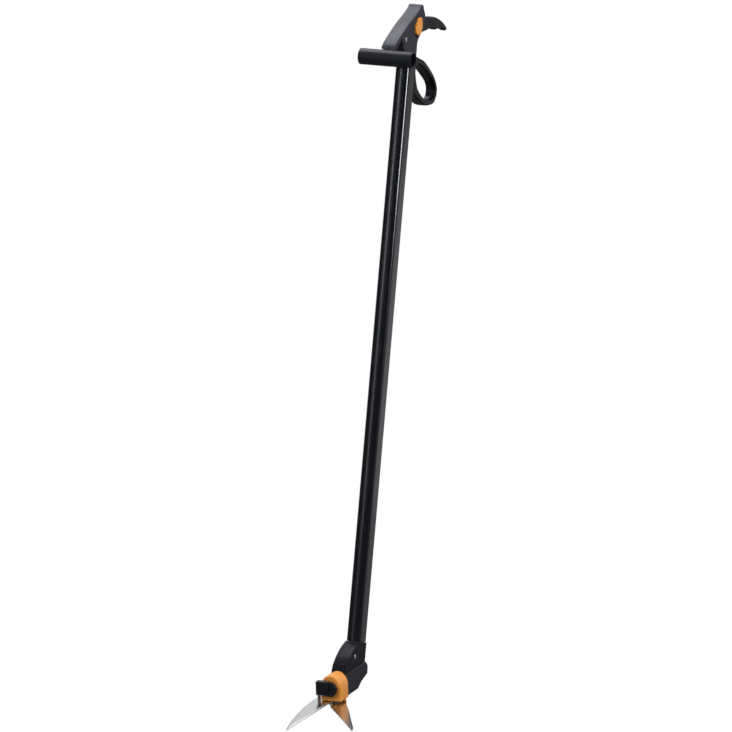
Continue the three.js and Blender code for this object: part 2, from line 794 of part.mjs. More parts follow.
function driveRod() {
  const start = -driveStart;
  const half = crankThick / 2 + cheekGap;
  const long = driveEnd - start - shankInset;
  const shank = rod(driveRadius, long, local(start + shankInset, 0, 0), ahead, smallSides);
  const block = box(-half - cheekThick, half + cheekThick, -start - forkReach, -start + forkHalf,
    -forkHalf, forkHalf);
  const gap = box(-half, half, -start - forkReach + forkRoot, -start + forkHalf + cutOver,
    -forkHalf - cutOver, forkHalf + cutOver);
  const hole = rod(linkPinRadius + fitGap / 2, 2 * (half + cheekThick + cutOver),
    new THREE.Vector3(-half - cheekThick - cutOver, -start, 0), across, smallSides);
  return inHead(cut(join(shank, block), gap, hole));
}

// Collar that carries the blades and turns on the spigot
const collarRear = headFront + fitGap;
const collarFace = collarRear + collarLength;
const bladeTop = -collarBottom - fitGap;
const lowerBladeTop = bladeTop - bladeThick - fitGap;

function collarShape() {
  const shape = new THREE.Shape();
  const side = collarHalfWidth;
  const corner = collarEdge * collarCornerShare;
  shape.moveTo(-side, 0);
  shape.lineTo(-side, -collarBottom + corner);
  shape.quadraticCurveTo(-side, -collarBottom, -side + corner, -collarBottom);
  shape.lineTo(side - corner, -collarBottom);
  shape.quadraticCurveTo(side, -collarBottom, side, -collarBottom + corner);
  shape.lineTo(side, 0);
  shape.absellipse(0, 0, side, collarTop, 0, Math.PI, false, 0);
  return shape;
}

function alongHead(shape, from, to, edge) {
  const geometry = new THREE.ExtrudeGeometry(shape, {
    depth: to - from - 2 * edge,
    bevelEnabled: edge > 0,
    bevelThickness: edge,
    bevelSize: edge,
    bevelOffset: -edge,
    bevelSegments: softEdgeSteps,
    curveSegments: middleLineSteps,
  });
  geometry.rotateX(Math.PI / 2);
  geometry.translate(0, -from - edge, 0);
  return solid(geometry);
}

function collar() {
  const body = alongHead(collarShape(), collarRear, collarFace, collarEdge);
  const footPlace = local(footAlong, footSide, lowerBladeTop + fitGap);
  const foot = rod(footRadius, 2 * bladeThick, footPlace, up, smallSides);
  const bore = rod(collarBore, collarLength + 2 * cutOver, local(collarRear - cutOver, 0, 0), ahead);
  const counter = rod(collarBore + counterboreWall, collarLength, local(spigotEnd, 0, 0), ahead);
  const boltWay = rod(boltRadius + fitGap / 3, collarBottom - collarBore - fitGap * 4,
    local(bladePivot, 0, bladeTop - cutOver), up, smallSides);
  const screwWay = rod(screwRadius + fitGap / 3, 3 * bladeThick + boltWayEnd,
    local(footAlong, footSide, lowerBladeTop - cutOver), up, smallSides);
  return inHead(cut(join(body, foot), bore, counter, boltWay, screwWay));
}

function retainer() {
  const inner = spigotRadius - spigotWall + fitGap / 2;
  const outer = collarBore + counterboreWall - fitGap;
  const profile = [[inner, 0], [outer, 0], [outer, retainerThick], [inner, retainerThick], [inner, 0]];
  return inHead(turned(profile, local(spigotEnd + fitGap, 0, 0), ahead));
}

// Slider: a round hub on the head's axis with a tab to the left and a fork for the post
function slider() {
  const hubProfile = [[0, 0], [hubRadius, 0], [hubRadius, hubThick - hubEdge],
    [hubRadius - hubEdge, hubThick], [0, hubThick]];
  const hub = turned(hubProfile, local(hubFoot, 0, 0), ahead);
  const webTop = tabHalfHeight * webTopShare;
  const inside = -collarHalfWidth - slideGap;
  const tab = box(-tabReach, 0, -hubFoot - tabDepth, -hubFoot, -tabHalfHeight, tabHalfHeight);
  const web = box(-tabReach, inside, -hubFoot - lastOverlap, -bladePivot, -tabHalfHeight, webTop);
  const prongTip = -postOffset - postRadius;
  const slotHalf = postRadius + postPlay;
  const prongs = box(prongTip, inside, -bladePivot - slotHalf - prongRear,
    -bladePivot + slotHalf + prongFront, -tabHalfHeight, webTop);
  const slot = box(prongTip - cutOver, inside - tabWall, -bladePivot - slotHalf, -bladePivot + slotHalf,
    -tabHalfHeight - cutOver, tabHalfHeight);
  const bore = rod(driveRadius + fitGap, hubThick * hubBoreShare + fitGap + lastOverlap,
    local(hubFoot - lastOverlap, 0, 0), ahead, smallSides);
  return inHead(cut(join(hub, tab, web, prongs), slot, bore));
}

function postPin() {
  const top = tabHalfHeight * postTopShare;
  const foot = bladeTop - bladeThick;
  const neck = postRadius * postNeckShare;
  const profile = [[0, foot], [neck, foot], [neck, bladeTop + fitGap],
    [postRadius, bladeTop + fitGap], [postRadius, top], [0, top]];
  return inHead(turned(profile, local(bladePivot, -postOffset, 0), up, smallSides));
}

// Blades: outlines in shares of the blade's reach, side and along from the pivot
const upperBladeShares = [
  [0.055, -0.025], [0.04, 0.04], [-0.006, 0.085], [-0.01, 0.4], [-0.024, 1], [-0.055, 0.9],
  [-0.09, 0.76], [-0.127, 0.57], [-0.158, 0.36], [-0.176, 0.16], [-0.178, 0.03], [-0.165, -0.03],
  [-0.12, -0.055], [-0.05, -0.062], [0, -0.062], [0.04, -0.05],
];
const lowerBladeShares = [
  [-0.06, -0.03], [-0.05, 0.05], [0.012, 0.12], [0.039, 0.18], [0.295, 0.51], [0.53, 0.817],
  [0.505, 0.73], [0.404, 0.543], [0.237, 0.224], [0.145, 0.07], [0.09, -0.055], [0.065, -0.088],
  [0.03, -0.088], [-0.035, -0.075],
];

function bladePlate(shares, topHeight, holes) {
  const points = shares.map(([side, along]) => new THREE.Vector2(side * bladeReach,
    -(bladePivot + along * bladeReach)));
  const edge = bladeThick * bladeEdgeShare;
  const plate = flatPlate(new THREE.Shape(points), topHeight - bladeThick, bladeThick, edge);
  const ways = holes.map(([side, along, radius]) => rod(radius, bladeThick + 2 * cutOver,
    local(along, side, topHeight - bladeThick - cutOver), up, smallSides));
  return inHead(cut(plate, ...ways));
}

function movingBlade() {
  return bladePlate(upperBladeShares, bladeTop, [
    [0, bladePivot, boltRadius + fitGap],
    [-postOffset, bladePivot, postRadius * postNeckShare + fitGap / 6],
  ]);
}

function fixedBlade() {
  return bladePlate(lowerBladeShares, lowerBladeTop, [
    [0, bladePivot, boltRadius + fitGap],
    [footSide, footAlong, screwRadius + fitGap],
  ]);
}

function underScrew(side, along, radius, headRadius, headThick, reach) {
  const seat = lowerBladeTop - bladeThick - fitGap;
  const profile = [[0, seat - headThick], [headRadius * underCrownShare, seat - headThick],
    [headRadius, seat - headThick / 2], [headRadius, seat], [radius, seat], [radius, seat + reach],
    [0, seat + reach]];
  return inHead(turned(profile, local(along, side, 0), up, smallSides));
}

// Hand loop behind the shaft: a band round an open space, narrower to the rear
const loopOuterShares = [
  [0.112, -0.08], [0.3, -0.125], [0.45, -0.16], [0.63, -0.265], [0.73, -0.335], [0.825, -0.41],
  [0.89, -0.48], [0.945, -0.555], [0.995, -0.665], [1, -0.74], [0.985, -0.82], [0.93, -0.935],
  [0.83, -0.985], [0.64, -1.01], [0.47, -0.965], [0.28, -0.87], [0.112, -0.8],
];
const loopInnerShares = [
  [0.2, -0.25], [0.36, -0.27], [0.5, -0.325], [0.63, -0.4], [0.73, -0.465], [0.83, -0.53],
  [0.9, -0.615], [0.925, -0.69], [0.925, -0.76], [0.9, -0.84], [0.82, -0.895], [0.66, -0.895],
  [0.54, -0.86], [0.42, -0.795], [0.3, -0.68], [0.2, -0.5], [0.165, -0.36],
];

function loopPlace([y, z]) {
  return [y * loopReach, gripBase + z * loopHeight];
}

function handLoop() {
  const outer = smooth(loopOuterShares.map(loopPlace), longLineSteps);
  outer.forEach((point) => point.setX(Math.max(point.x, gripRear + fitGap)));
  const inner = smooth([...loopInnerShares, loopInnerShares[0]].map(loopPlace), longLineSteps);
  const space = sidePlate(inner, loopWide + 2 * cutOver);
  const band = cut(sidePlate(outer, loopWide, gripEdge), space);
  const wide = loopWide / 2;
  const narrow = loopNarrow / 2;
  const rear = loopReach + cutOver;
  const taper = flatPlate(new THREE.Shape(vectors([[-wide, 0], [wide, 0], [narrow, rear], [-narrow, rear]])),
    gripBase - 2 * loopHeight, 3 * loopHeight);
  const ways = loopScrewPlaces().map((z) => rod(screwRadius + fitGap / 3, 2 * loopThick + gripRear,
    new THREE.Vector3(0, 0, z), new THREE.Vector3(0, 1, 0), smallSides));
  const seats = loopScrewPlaces().map((z) => rod(screwHeadRadius + fitGap, 2 * loopThick,
    new THREE.Vector3(0, loopSeat, z), new THREE.Vector3(0, 1, 0), smallSides));
  return cut(band.intersect(taper), ...ways, ...seats);
}

function loopScrewPlaces() {
  return loopScrewShares.map((share) => gripBase - share * loopHeight);
}

function loopScrew(z) {
  const seat = loopSeat + fitGap / 3;
  const tip = gripRear - shaftWall + fitGap / 3;
  const profile = [[0, 0], [screwRadius, 0], [screwRadius, seat - tip], [screwHeadRadius, seat - tip],
    [screwHeadRadius * screwCrownShare, seat - tip + screwHeadThick], [0, seat - tip + screwHeadThick]];
  return turned(profile, new THREE.Vector3(0, tip, z), new THREE.Vector3(0, 1, 0), smallSides);
}

function drilledShaft() {
  const ways = loopScrewPlaces().map((z) => rod(screwRadius + fitGap / 2, shaftDepth,
    new THREE.Vector3(0, 0, z), new THREE.Vector3(0, 1, 0), smallSides));
  return cut(shaftTube(), ...ways);
}

// Finishes as the photo shows them
const finishes = {
  glossBlack: { color: 0x17181b, roughness: 0.25, metalness: 0.0 },
  mattBlack: { color: 0x2b2c31, roughness: 0.6, metalness: 0.0 },
  grip: { color: 0x4b4c52, roughness: 0.55, metalness: 0.0 },
  orange: { color: 0xe07f24, roughness: 0.4, metalness: 0.0 },
  steel: { color: 0xb9bcc0, roughness: 0.3, metalness: 1.0 },
  darkSteel: { color: 0x55585e, roughness: 0.4, metalness: 1.0 },
};

function piece(name, finish, body) {
  const geometry = body instanceof THREE.BufferGeometry ? body : geometryOf(body);
  const mesh = new THREE.Mesh(geometry, new THREE.MeshStandardMaterial(finishes[finish]));
  mesh.name = name;
  return mesh;
}

const [upperScrewZ, lowerScrewZ] = loopScrewPlaces();
const [leftScrew, rightScrew] = caseScrewPlaces();

const shears = new THREE.Group();
shears.name = 'long_handled_shears';
shears.add(
  piece('shaft_tube', 'glossBlack', drilledShaft()),
  piece('grip_frame', 'grip', gripFrame()),
  piece('crossbar_tube', 'glossBlack', crossbarTube()),
  piece('crossbar_screw', 'darkSteel', crossbarScrew()),
  piece('trigger', 'glossBlack', trigger()),
  piece('trigger_pin', 'steel', headedPin(pivotPinRadius, pivotHeadRadius, pivotHeadThick, shaftWidth,
    pivotY, pivotZ)),
  piece('lock_button', 'orange', lockButton()),
  piece('hand_loop', 'glossBlack', handLoop()),
  piece('loop_screw_upper', 'darkSteel', loopScrew(upperScrewZ)),
  piece('loop_screw_lower', 'darkSteel', loopScrew(lowerScrewZ)),
  piece('link_rod', 'steel', linkRod()),
  piece('link_pin_upper', 'steel', linkPin(linkY, linkRestZ)),
  piece('link_pin_lower', 'steel', linkPin(linkY, linkFootZ)),
  piece('spring_ring', 'steel', springRing()),
  piece('return_spring', 'steel', returnSpring()),
  piece('spring_stop', 'mattBlack', springStop()),
  piece('head_socket', 'mattBlack', headSocket()),
  piece('head_rivet', 'steel', headedPin(rivetRadius, rivetHeadRadius, pivotHeadThick, headWidth,
    rivetY, rivetZ)),
  piece('gear_case', 'mattBlack', gearCase()),
  piece('case_screw_left', 'darkSteel', caseScrew(leftScrew)),
  piece('case_screw_right', 'darkSteel', caseScrew(rightScrew)),
  piece('bell_crank', 'steel', bellCrank()),
  piece('crank_pin', 'steel', crankPin()),
  piece('drive_rod', 'steel', driveRod()),
  piece('drive_pin', 'steel', linkPin(drivePinPlace.y, drivePinPlace.z)),
  piece('collar', 'orange', collar()),
  piece('collar_retainer', 'darkSteel', retainer()),
  piece('slider', 'mattBlack', slider()),
  piece('upper_blade', 'steel', movingBlade()),
  piece('lower_blade', 'steel', fixedBlade()),
  piece('blade_post', 'steel', postPin()),
  piece('blade_bolt', 'steel', underScrew(0, bladePivot, boltRadius, boltHeadRadius, boltHeadThick,
    2 * bladeThick + boltGrip)),
  piece('blade_screw', 'darkSteel', underScrew(footSide, footAlong, screwRadius, screwHeadRadius,
    screwHeadThick, 2 * bladeThick + bladeScrewGrip)),
);

export default shears;
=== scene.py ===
"""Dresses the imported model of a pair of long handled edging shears.

Every length is in millimetres until a mesh is made, +Z runs up the shaft, -Y is the way the blades
point and +X is to the right hand side. Head parts are drawn in the head's own frame (x to the side,
y back along the turning axis, z up from it) and tilted into place.
"""

from __future__ import annotations

import logging
import math
import sys
from dataclasses import dataclass
from enum import Enum
from typing import Iterable, Sequence

import bmesh
import bpy
import numpy as np
from mathutils import Matrix, Vector


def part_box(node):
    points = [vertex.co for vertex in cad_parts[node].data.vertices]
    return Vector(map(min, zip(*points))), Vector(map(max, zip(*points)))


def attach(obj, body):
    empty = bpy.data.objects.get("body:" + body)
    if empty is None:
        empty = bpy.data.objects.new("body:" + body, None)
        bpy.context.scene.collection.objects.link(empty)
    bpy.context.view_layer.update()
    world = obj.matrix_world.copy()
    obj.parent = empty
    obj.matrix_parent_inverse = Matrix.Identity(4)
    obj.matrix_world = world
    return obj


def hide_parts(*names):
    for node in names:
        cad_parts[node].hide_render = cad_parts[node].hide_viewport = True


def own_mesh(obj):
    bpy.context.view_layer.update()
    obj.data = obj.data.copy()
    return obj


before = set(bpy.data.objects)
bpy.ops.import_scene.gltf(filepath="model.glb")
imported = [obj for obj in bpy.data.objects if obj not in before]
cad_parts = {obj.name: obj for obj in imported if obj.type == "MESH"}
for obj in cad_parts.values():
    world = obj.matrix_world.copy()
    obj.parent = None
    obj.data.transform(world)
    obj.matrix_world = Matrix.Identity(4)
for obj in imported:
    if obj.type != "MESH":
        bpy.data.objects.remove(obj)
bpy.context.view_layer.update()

LOG = logging.getLogger("shears")
MM = 0.001
HEAD_TILT = math.radians(17.0)
# How far an arm's end travels for each millimetre of its length as the crank turns 40 degrees
SWING = 2 * math.tan(math.radians(20.0))
RIGHT, BACK, AHEAD, UP = (1, 0, 0), (0, 1, 0), (0, -1, 0), (0, 0, 1)
Pairs = Sequence[tuple[float, float]]
Place = Sequence[float]
Colour = tuple[float, float, float]
Piece = bpy.types.Object
Tree = bpy.types.NodeTree
Node = bpy.types.Node
Socket = bpy.types.NodeSocket


# Plain shapes worked out as whole arrays


@dataclass
class Shell:
    """One closed surface: its points in millimetres and its faces as lists of point numbers."""

    points: np.ndarray
    faces: list[list[int]]

    def moved(self, way: Matrix) -> Shell:
        """The shell after a move given as a matrix."""
        turn = np.array(way.to_3x3())
        return Shell(self.points @ turn.T + np.array(way.translation), self.faces)


class Carve(Enum):
    """How one solid works on another."""

    AWAY = "DIFFERENCE"
    TOGETHER = "UNION"


def smooth_line(pairs: Pairs | np.ndarray, steps: int) -> np.ndarray:
    """Points of a smooth line through the given ones.

    Between two given points the line is the cubic whose slope at each end is half of the step
    from the point before to the point after.

    Args:
        pairs: the points that the line goes through.
        steps: how many equal steps the line is read in.

    Returns:
        An array of steps + 1 points.
    """
    given = np.asarray(pairs, float)
    last = len(given) - 1
    place = np.linspace(0.0, last, steps + 1)
    index = np.minimum(place.astype(int), last)
    part = (place - index)[:, None]
    before, start = given[np.maximum(index - 1, 0)], given[index]
    end, after = given[np.minimum(index + 1, last)], given[np.minimum(index + 2, last)]
    leave, arrive = (end - before) / 2, (after - start) / 2
    cubic = (2 * (start - end) + leave + arrive) * part**3
    square = (3 * (end - start) - 2 * leave - arrive) * part**2
    return cubic + square + leave * part + start


def bent(start: np.ndarray, corner: np.ndarray, end: np.ndarray, part: np.ndarray) -> np.ndarray:
    """Points on the quadratic curve from start to end with the corner as its middle point."""
    return start * (1 - part) ** 2 + corner * 2 * part * (1 - part) + end * part**2


def twice_area(outline: np.ndarray) -> float:
    """Twice the area of a closed outline, above zero where it runs counterclockwise."""
    ahead = np.roll(outline, -1, axis=0)
    return float(np.sum(outline[:, 0] * ahead[:, 1] - ahead[:, 0] * outline[:, 1]))


def thinned(outline: np.ndarray, least: float = 0.35) -> np.ndarray:
    """Drops points of a closed outline that lie closer along it than the least step.

    Args:
        outline: the closed outline, its last point not repeated.
        least: the least step in millimetres.

    Returns:
        The outline that is left, counterclockwise.
    """
    steps = np.linalg.norm(np.diff(outline, axis=0, prepend=outline[-1:]), axis=1)
    steps[0] = 0.0
    cell = np.floor(np.cumsum(steps) / least)
    left = outline[np.concatenate([[True], np.diff(cell) > 0])]
    if np.linalg.norm(left[0] - left[-1]) < least:
        left = left[:-1]
    return left if twice_area(left) > 0 else left[::-1].copy()


def inward(outline: np.ndarray) -> np.ndarray:
    """How far each point of a counterclockwise outline moves when its sides move in by one.

    The move is the sum of the two sides' inner normals over one plus their product, which keeps
    both sides at the same distance, and is held to twice the distance at sharp corners.

    Args:
        outline: the closed outline.

    Returns:
        One vector for each point.
    """
    side = np.roll(outline, -1, axis=0) - outline
    side /= np.linalg.norm(side, axis=1, keepdims=True)
    normal = np.stack([-side[:, 1], side[:, 0]], axis=1)
    earlier = np.roll(normal, 1, axis=0)
    agree = np.sum(normal * earlier, axis=1, keepdims=True)
    move = (normal + earlier) / np.maximum(1 + agree, 0.25)
    length = np.linalg.norm(move, axis=1, keepdims=True)
    return move * np.minimum(1.0, 2.0 / np.maximum(length, 1e-9))


def lofted(rings: np.ndarray, closed: bool = False, caps: bool = True) -> Shell:
    """A surface through rings of points.

    Args:
        rings: the points by ring and by place in the ring, three coordinates each.
        closed: True where the last ring joins the first.
        caps: True where the first and last ring of an open row are each filled with a face.

    Returns:
        The shell.
    """
    rows, count = rings.shape[:2]
    ring, here = np.arange(rows if closed else rows - 1)[:, None], np.arange(count)[None, :]
    after, beside = (ring + 1) % rows, (here + 1) % count
    corners = [ring * count + here, ring * count + beside, after * count + beside, after * count + here]
    faces = np.stack(corners, axis=-1).reshape(-1, 4).tolist()
    if caps and not closed:
        faces += [list(range(count))[::-1], list(range((rows - 1) * count, rows * count))]
    return Shell(rings.reshape(-1, 3), faces)


def stacked(rings: np.ndarray, heights: Iterable[float], closed: bool = False) -> Shell:
    """A shell through flat rings, each at its own height.

    Args:
        rings: the points by ring and by place in the ring, two coordinates each.
        heights: the third coordinate of each ring.
        closed: True where the last ring joins the first.

    Returns:
        The shell.
    """
    levels = np.asarray(heights, float)[:, None, None]
    height = np.broadcast_to(levels, rings.shape[:2] + (1,))
    return lofted(np.concatenate([rings, height], axis=2), closed)


def plate(outline: np.ndarray, low: float, high: float, edge: float, rows: int = 6) -> Shell:
    """A flat plate with rounded rims, drawn in its first two coordinates and thick in the third.

    Each ring is the outline moved in by edge times one minus the sine of an angle, at edge times
    one minus the cosine of that angle from the face, as the angle goes from the face to the rim.
    One more ring just inside keeps the flat face flat in its shading.

    Args:
        outline: the closed outline of the plate.
        low: the height of the lower face.
        high: the height of the upper face.
        edge: the radius of the rims.
        rows: how many rings turn each rim.

    Returns:
        The closed shell.
    """
    closed = thinned(outline)
    angle = np.linspace(0.0, math.pi / 2, rows)
    inset = np.concatenate([[edge + 0.2], edge * (1 - np.sin(angle))])
    depth = np.concatenate([[0.0], edge * (1 - np.cos(angle))])
    insets = np.concatenate([inset, inset[::-1]])
    levels = np.concatenate([low + depth, (high - depth)[::-1]])
    return stacked(closed[None] + inward(closed)[None] * insets[:, None, None], levels)


def turned(profile: Pairs, sides: int = 64) -> Shell:
    """A lathe shape about its third coordinate.

    A point is the profile's radius times the cosine and sine of the turning angle, at the
    profile's height. A profile that starts and ends on the axis closes there, and any other
    closes on itself.

    Args:
        profile: pairs of radius and height, the solid on their left.
        sides: how many steps the turn has.

    Returns:
        The closed shell.
    """
    pairs = np.asarray(profile, float)
    angle = np.linspace(0.0, 2 * math.pi, sides, endpoint=False)
    across, beside = pairs[:, 0, None] * np.cos(angle), pairs[:, 0, None] * np.sin(angle)
    height = np.broadcast_to(pairs[:, 1, None], across.shape)
    return lofted(np.stack([across, beside, height], axis=-1), bool(pairs[0, 0] > 1e-6), caps=False)


def block(low: Place, high: Place) -> Shell:
    """A plain box between two corners, used to cut.

    Args:
        low: its lowest corner.
        high: its highest corner.

    Returns:
        The closed shell.
    """
    start, end = np.asarray(low, float), np.asarray(high, float)
    flat = start[:2] + np.array([[0, 0], [1, 0], [1, 1], [0, 1]]) * (end - start)[:2]
    return stacked(np.stack([flat, flat]), (start[2], end[2]))


def rounded(profile: Pairs, radius: float, steps: int = 4) -> np.ndarray:
    """The same profile with its inner corners turned to arcs.

    Args:
        profile: the pairs of radius and height.
        radius: how far from each corner its arc starts and ends.
        steps: how many steps an arc has.

    Returns:
        The longer list of pairs.
    """
    pairs = np.asarray(profile, float)
    corner = pairs[1:-1]
    back, ahead = pairs[:-2] - corner, pairs[2:] - corner
    back_long, ahead_long = (np.linalg.norm(side, axis=1, keepdims=True) for side in (back, ahead))
    reach = np.minimum(np.minimum(back_long, ahead_long) * 0.45, radius)
    leave, meet = corner + back / back_long * reach, corner + ahead / ahead_long * reach
    part = np.linspace(0.0, 1.0, steps + 1)[None, :, None]
    arcs = bent(leave[:, None], corner[:, None], meet[:, None], part)
    return np.concatenate([pairs[:1], arcs.reshape(-1, 2), pairs[-1:]])


SIDEWAYS = Matrix(((0, 0, 1, 0), (1, 0, 0, 0), (0, 1, 0, 0), (0, 0, 0, 1)))
ALONG = Matrix(((1, 0, 0, 0), (0, 0, -1, 0), (0, 1, 0, 0), (0, 0, 0, 1)))


def aimed(foot: Place, direction: Place) -> Matrix:
    """The move that puts a shape's foot at a point and its third coordinate along a direction."""
    turn = Vector(direction).normalized().to_track_quat("Z", "Y").to_matrix().to_4x4()
    return Matrix.Translation(Vector(foot)) @ turn


def side_plate(outline: np.ndarray, low: float, high: float, edge: float, rows: int = 6) -> Shell:
    """A plate drawn as the tool's side view, y back and z up, between two places along x."""
    return plate(outline, low, high, edge, rows).moved(SIDEWAYS)


def pocket(outline: np.ndarray, low: float, high: float) -> Shell:
    """A sharp edged side plate, used to cut."""
    return side_plate(outline, low, high, 0.01, 2)


def peg(radius: float, length: float, foot: Place, direction: Place) -> Shell:
    """A plain round peg from its foot along a direction."""
    profile = [(0.0, 0.0), (radius, 0.0), (radius, length), (0.0, length)]
    return turned(profile, 48).moved(aimed(foot, direction))


def across(radius: float, wide: float, place: Place) -> Shell:
    """A round peg across the tool, its middle at a place given back and up."""
    return peg(radius, wide, (-wide / 2, *place), RIGHT)


def linked(name: str, data: bpy.types.ID) -> Piece:
    """A new object, linked to the scene.

    Args:
        name: its name.
        data: its mesh, lamp or camera.

    Returns:
        The object.
    """
    made = bpy.data.objects.new(name, data)
    bpy.context.scene.collection.objects.link(made)
    return made


def raw_object(name: str, shells: Sequence[Shell]) -> Piece:
    """Puts shells into one mesh object, in metres, with its doubles merged.

    Args:
        name: the object's name.
        shells: the closed shells of the piece.

    Returns:
        The new object, linked to the scene.
    """
    starts = np.cumsum([0] + [len(part.points) for part in shells[:-1]])
    points = np.concatenate([part.points for part in shells]) * MM
    faces = [[int(start) + n for n in face] for part, start in zip(shells, starts) for face in part.faces]
    mesh = bpy.data.meshes.new(name)
    mesh.from_pydata(points, [], faces)
    work = bmesh.new()
    work.from_mesh(mesh)
    bmesh.ops.remove_doubles(work, verts=work.verts, dist=1e-7)
    bmesh.ops.dissolve_degenerate(work, dist=1e-8, edges=work.edges)
    bmesh.ops.recalc_face_normals(work, faces=work.faces)
    work.to_mesh(mesh)
    work.free()
    return linked(name, mesh)


def carved(body: Piece, how: Carve, shells: Iterable[Shell]) -> Piece:
    """Works other solids on a body and keeps the result in its mesh.

    Args:
        body: the object to work on.
        how: whether the solids are taken away or joined.
        shells: one shell for each tool.

    Returns:
        The same object with its new mesh.
    """
    tools = [raw_object(f"{body.name}_tool", [shell]) for shell in shells]
    for tool in tools:
        work = body.modifiers.new("work", "BOOLEAN")
        work.operation, work.solver, work.object = how.value, "MANIFOLD", tool
    graph = bpy.context.evaluated_depsgraph_get()
    result = bpy.data.meshes.new_from_object(body.evaluated_get(graph))
    body.modifiers.clear()
    old, body.data = body.data, result
    bpy.data.meshes.remove(old)
    for tool in tools:
        bpy.data.objects.remove(tool)
    return body


# Shader nodes and the patterns shared by more than one finish


def feed(tree: Tree, node: Node, feeds: dict) -> None:
    """Links a node's inputs to sockets, or sets them to values.

    Args:
        tree: the node tree.
        node: the node that is fed.
        feeds: by name or number of each input, the socket or the value that it gets.
    """
    for label, value in feeds.items():
        if isinstance(value, Socket):
            tree.links.new(value, node.inputs[label])
        else:
            node.inputs[label].default_value = value


def node_of(tree: Tree, kind: str, feeds: dict, **settings: object) -> Node:
    """A new shader node.

    Args:
        tree: the node tree that it goes into.
        kind: its type, without the words that every type starts with.
        feeds: by name or number of each input, the socket linked to it or the value that it gets.
        **settings: the node's own properties.

    Returns:
        The node.
    """
    node = tree.nodes.new("ShaderNode" + kind)
    for label, value in settings.items():
        setattr(node, label, value)
    feed(tree, node, feeds)
    return node


def sum_of(tree: Tree, how: str, first: object, second: object) -> Socket:
    """The result of a Math node that works on two sockets or numbers."""
    return node_of(tree, "Math", {0: first, 1: second}, operation=how).outputs[0]


def ramp(tree: Tree, value: Socket, start: float, end: float, low: float = 0.0, high: float = 1.0,
         way: str = "SMOOTHSTEP") -> Socket:
    """A value that goes from low to high as another goes from start to end."""
    feeds = {"Value": value, "From Min": start, "From Max": end, "To Min": low, "To Max": high}
    return node_of(tree, "MapRange", feeds, interpolation_type=way).outputs["Result"]


def noise(tree: Tree, vector: Socket, scale: object, detail: float, rough: float = 0.5) -> Socket:
    """The value of a noise texture."""
    feeds = {"Vector": vector, "Scale": scale, "Detail": detail, "Roughness": rough}
    return node_of(tree, "TexNoise", feeds).outputs["Fac"]


def stretched(tree: Tree, vector: Socket, scale: Place) -> Socket:
    """Coordinates drawn out along an axis."""
    return node_of(tree, "Mapping", {"Vector": vector, "Scale": scale}).outputs["Vector"]


class Pattern:
    """A shader node group: its inputs, a vector and numbers, and its outputs, numbers."""

    def __init__(self, name: str, takes: Sequence[str], gives: Sequence[str]) -> None:
        """Starts the group.

        Args:
            name: its name.
            takes: the names of its inputs.
            gives: the names of its outputs.
        """
        self.tree = bpy.data.node_groups.new(name, "ShaderNodeTree")
        for label in takes:
            kind = "NodeSocketVector" if label == "Vector" else "NodeSocketFloat"
            self.tree.interface.new_socket(label, in_out="INPUT", socket_type=kind)
        for label in gives:
            self.tree.interface.new_socket(label, in_out="OUTPUT", socket_type="NodeSocketFloat")
        self.takes = self.tree.nodes.new("NodeGroupInput").outputs
        self.end = self.tree.nodes.new("NodeGroupOutput")

    def finished(self, **results: Socket) -> Tree:
        """Links the results to the outputs of the same names and gives the group back."""
        feed(self.tree, self.end, results)
        return self.tree


def moulded_grain() -> Tree:
    """Fine pebbled grain of a moulded surface, and the slow mottling of its colour."""
    made = Pattern("moulded_grain", ("Vector", "Scale"), ("Height", "Mottle"))
    tree, vector, scale = made.tree, made.takes["Vector"], made.takes["Scale"]
    pebble = node_of(tree, "TexVoronoi", {"Vector": vector, "Scale": scale}, feature="SMOOTH_F1")
    fine = noise(tree, vector, sum_of(tree, "MULTIPLY", scale, 2.3), 3.0)
    height = sum_of(tree, "ADD", pebble.outputs["Distance"], sum_of(tree, "MULTIPLY", fine, 0.6))
    return made.finished(Height=height, Mottle=noise(tree, vector, 34.0, 3.0, 0.62))


def handling_marks() -> Tree:
    """Thin rubbed streaks and specks that handling leaves, as a mask from none to full."""
    made = Pattern("handling_marks", ("Vector", "Scale", "Amount"), ("Mask",))
    tree, vector = made.tree, made.takes["Vector"]
    streak = noise(tree, stretched(tree, vector, (1.0, 1.0, 0.07)), made.takes["Scale"], 5.0, 0.7)
    where = sum_of(tree, "MULTIPLY", ramp(tree, streak, 0.6, 0.78), noise(tree, vector, 9.0, 2.0))
    return made.finished(Mask=sum_of(tree, "MULTIPLY", where, made.takes["Amount"]))


def ground_lines() -> Tree:
    """Fine straight lines of ground or drawn metal that run along Y of the given vector."""
    made = Pattern("ground_lines", ("Vector", "Scale"), ("Height", "Streak"))
    drawn = stretched(made.tree, made.takes["Vector"], (1.0, 0.03, 1.0))
    return made.finished(Height=noise(made.tree, drawn, made.takes["Scale"], 4.0, 0.75),
                       Streak=noise(made.tree, drawn, 160.0, 3.0))


PATTERNS: dict[str, Tree] = {}


class Stock(Enum):
    """What a piece is made of."""

    PLASTIC = "plastic"
    PAINT = "paint"
    STEEL = "steel"


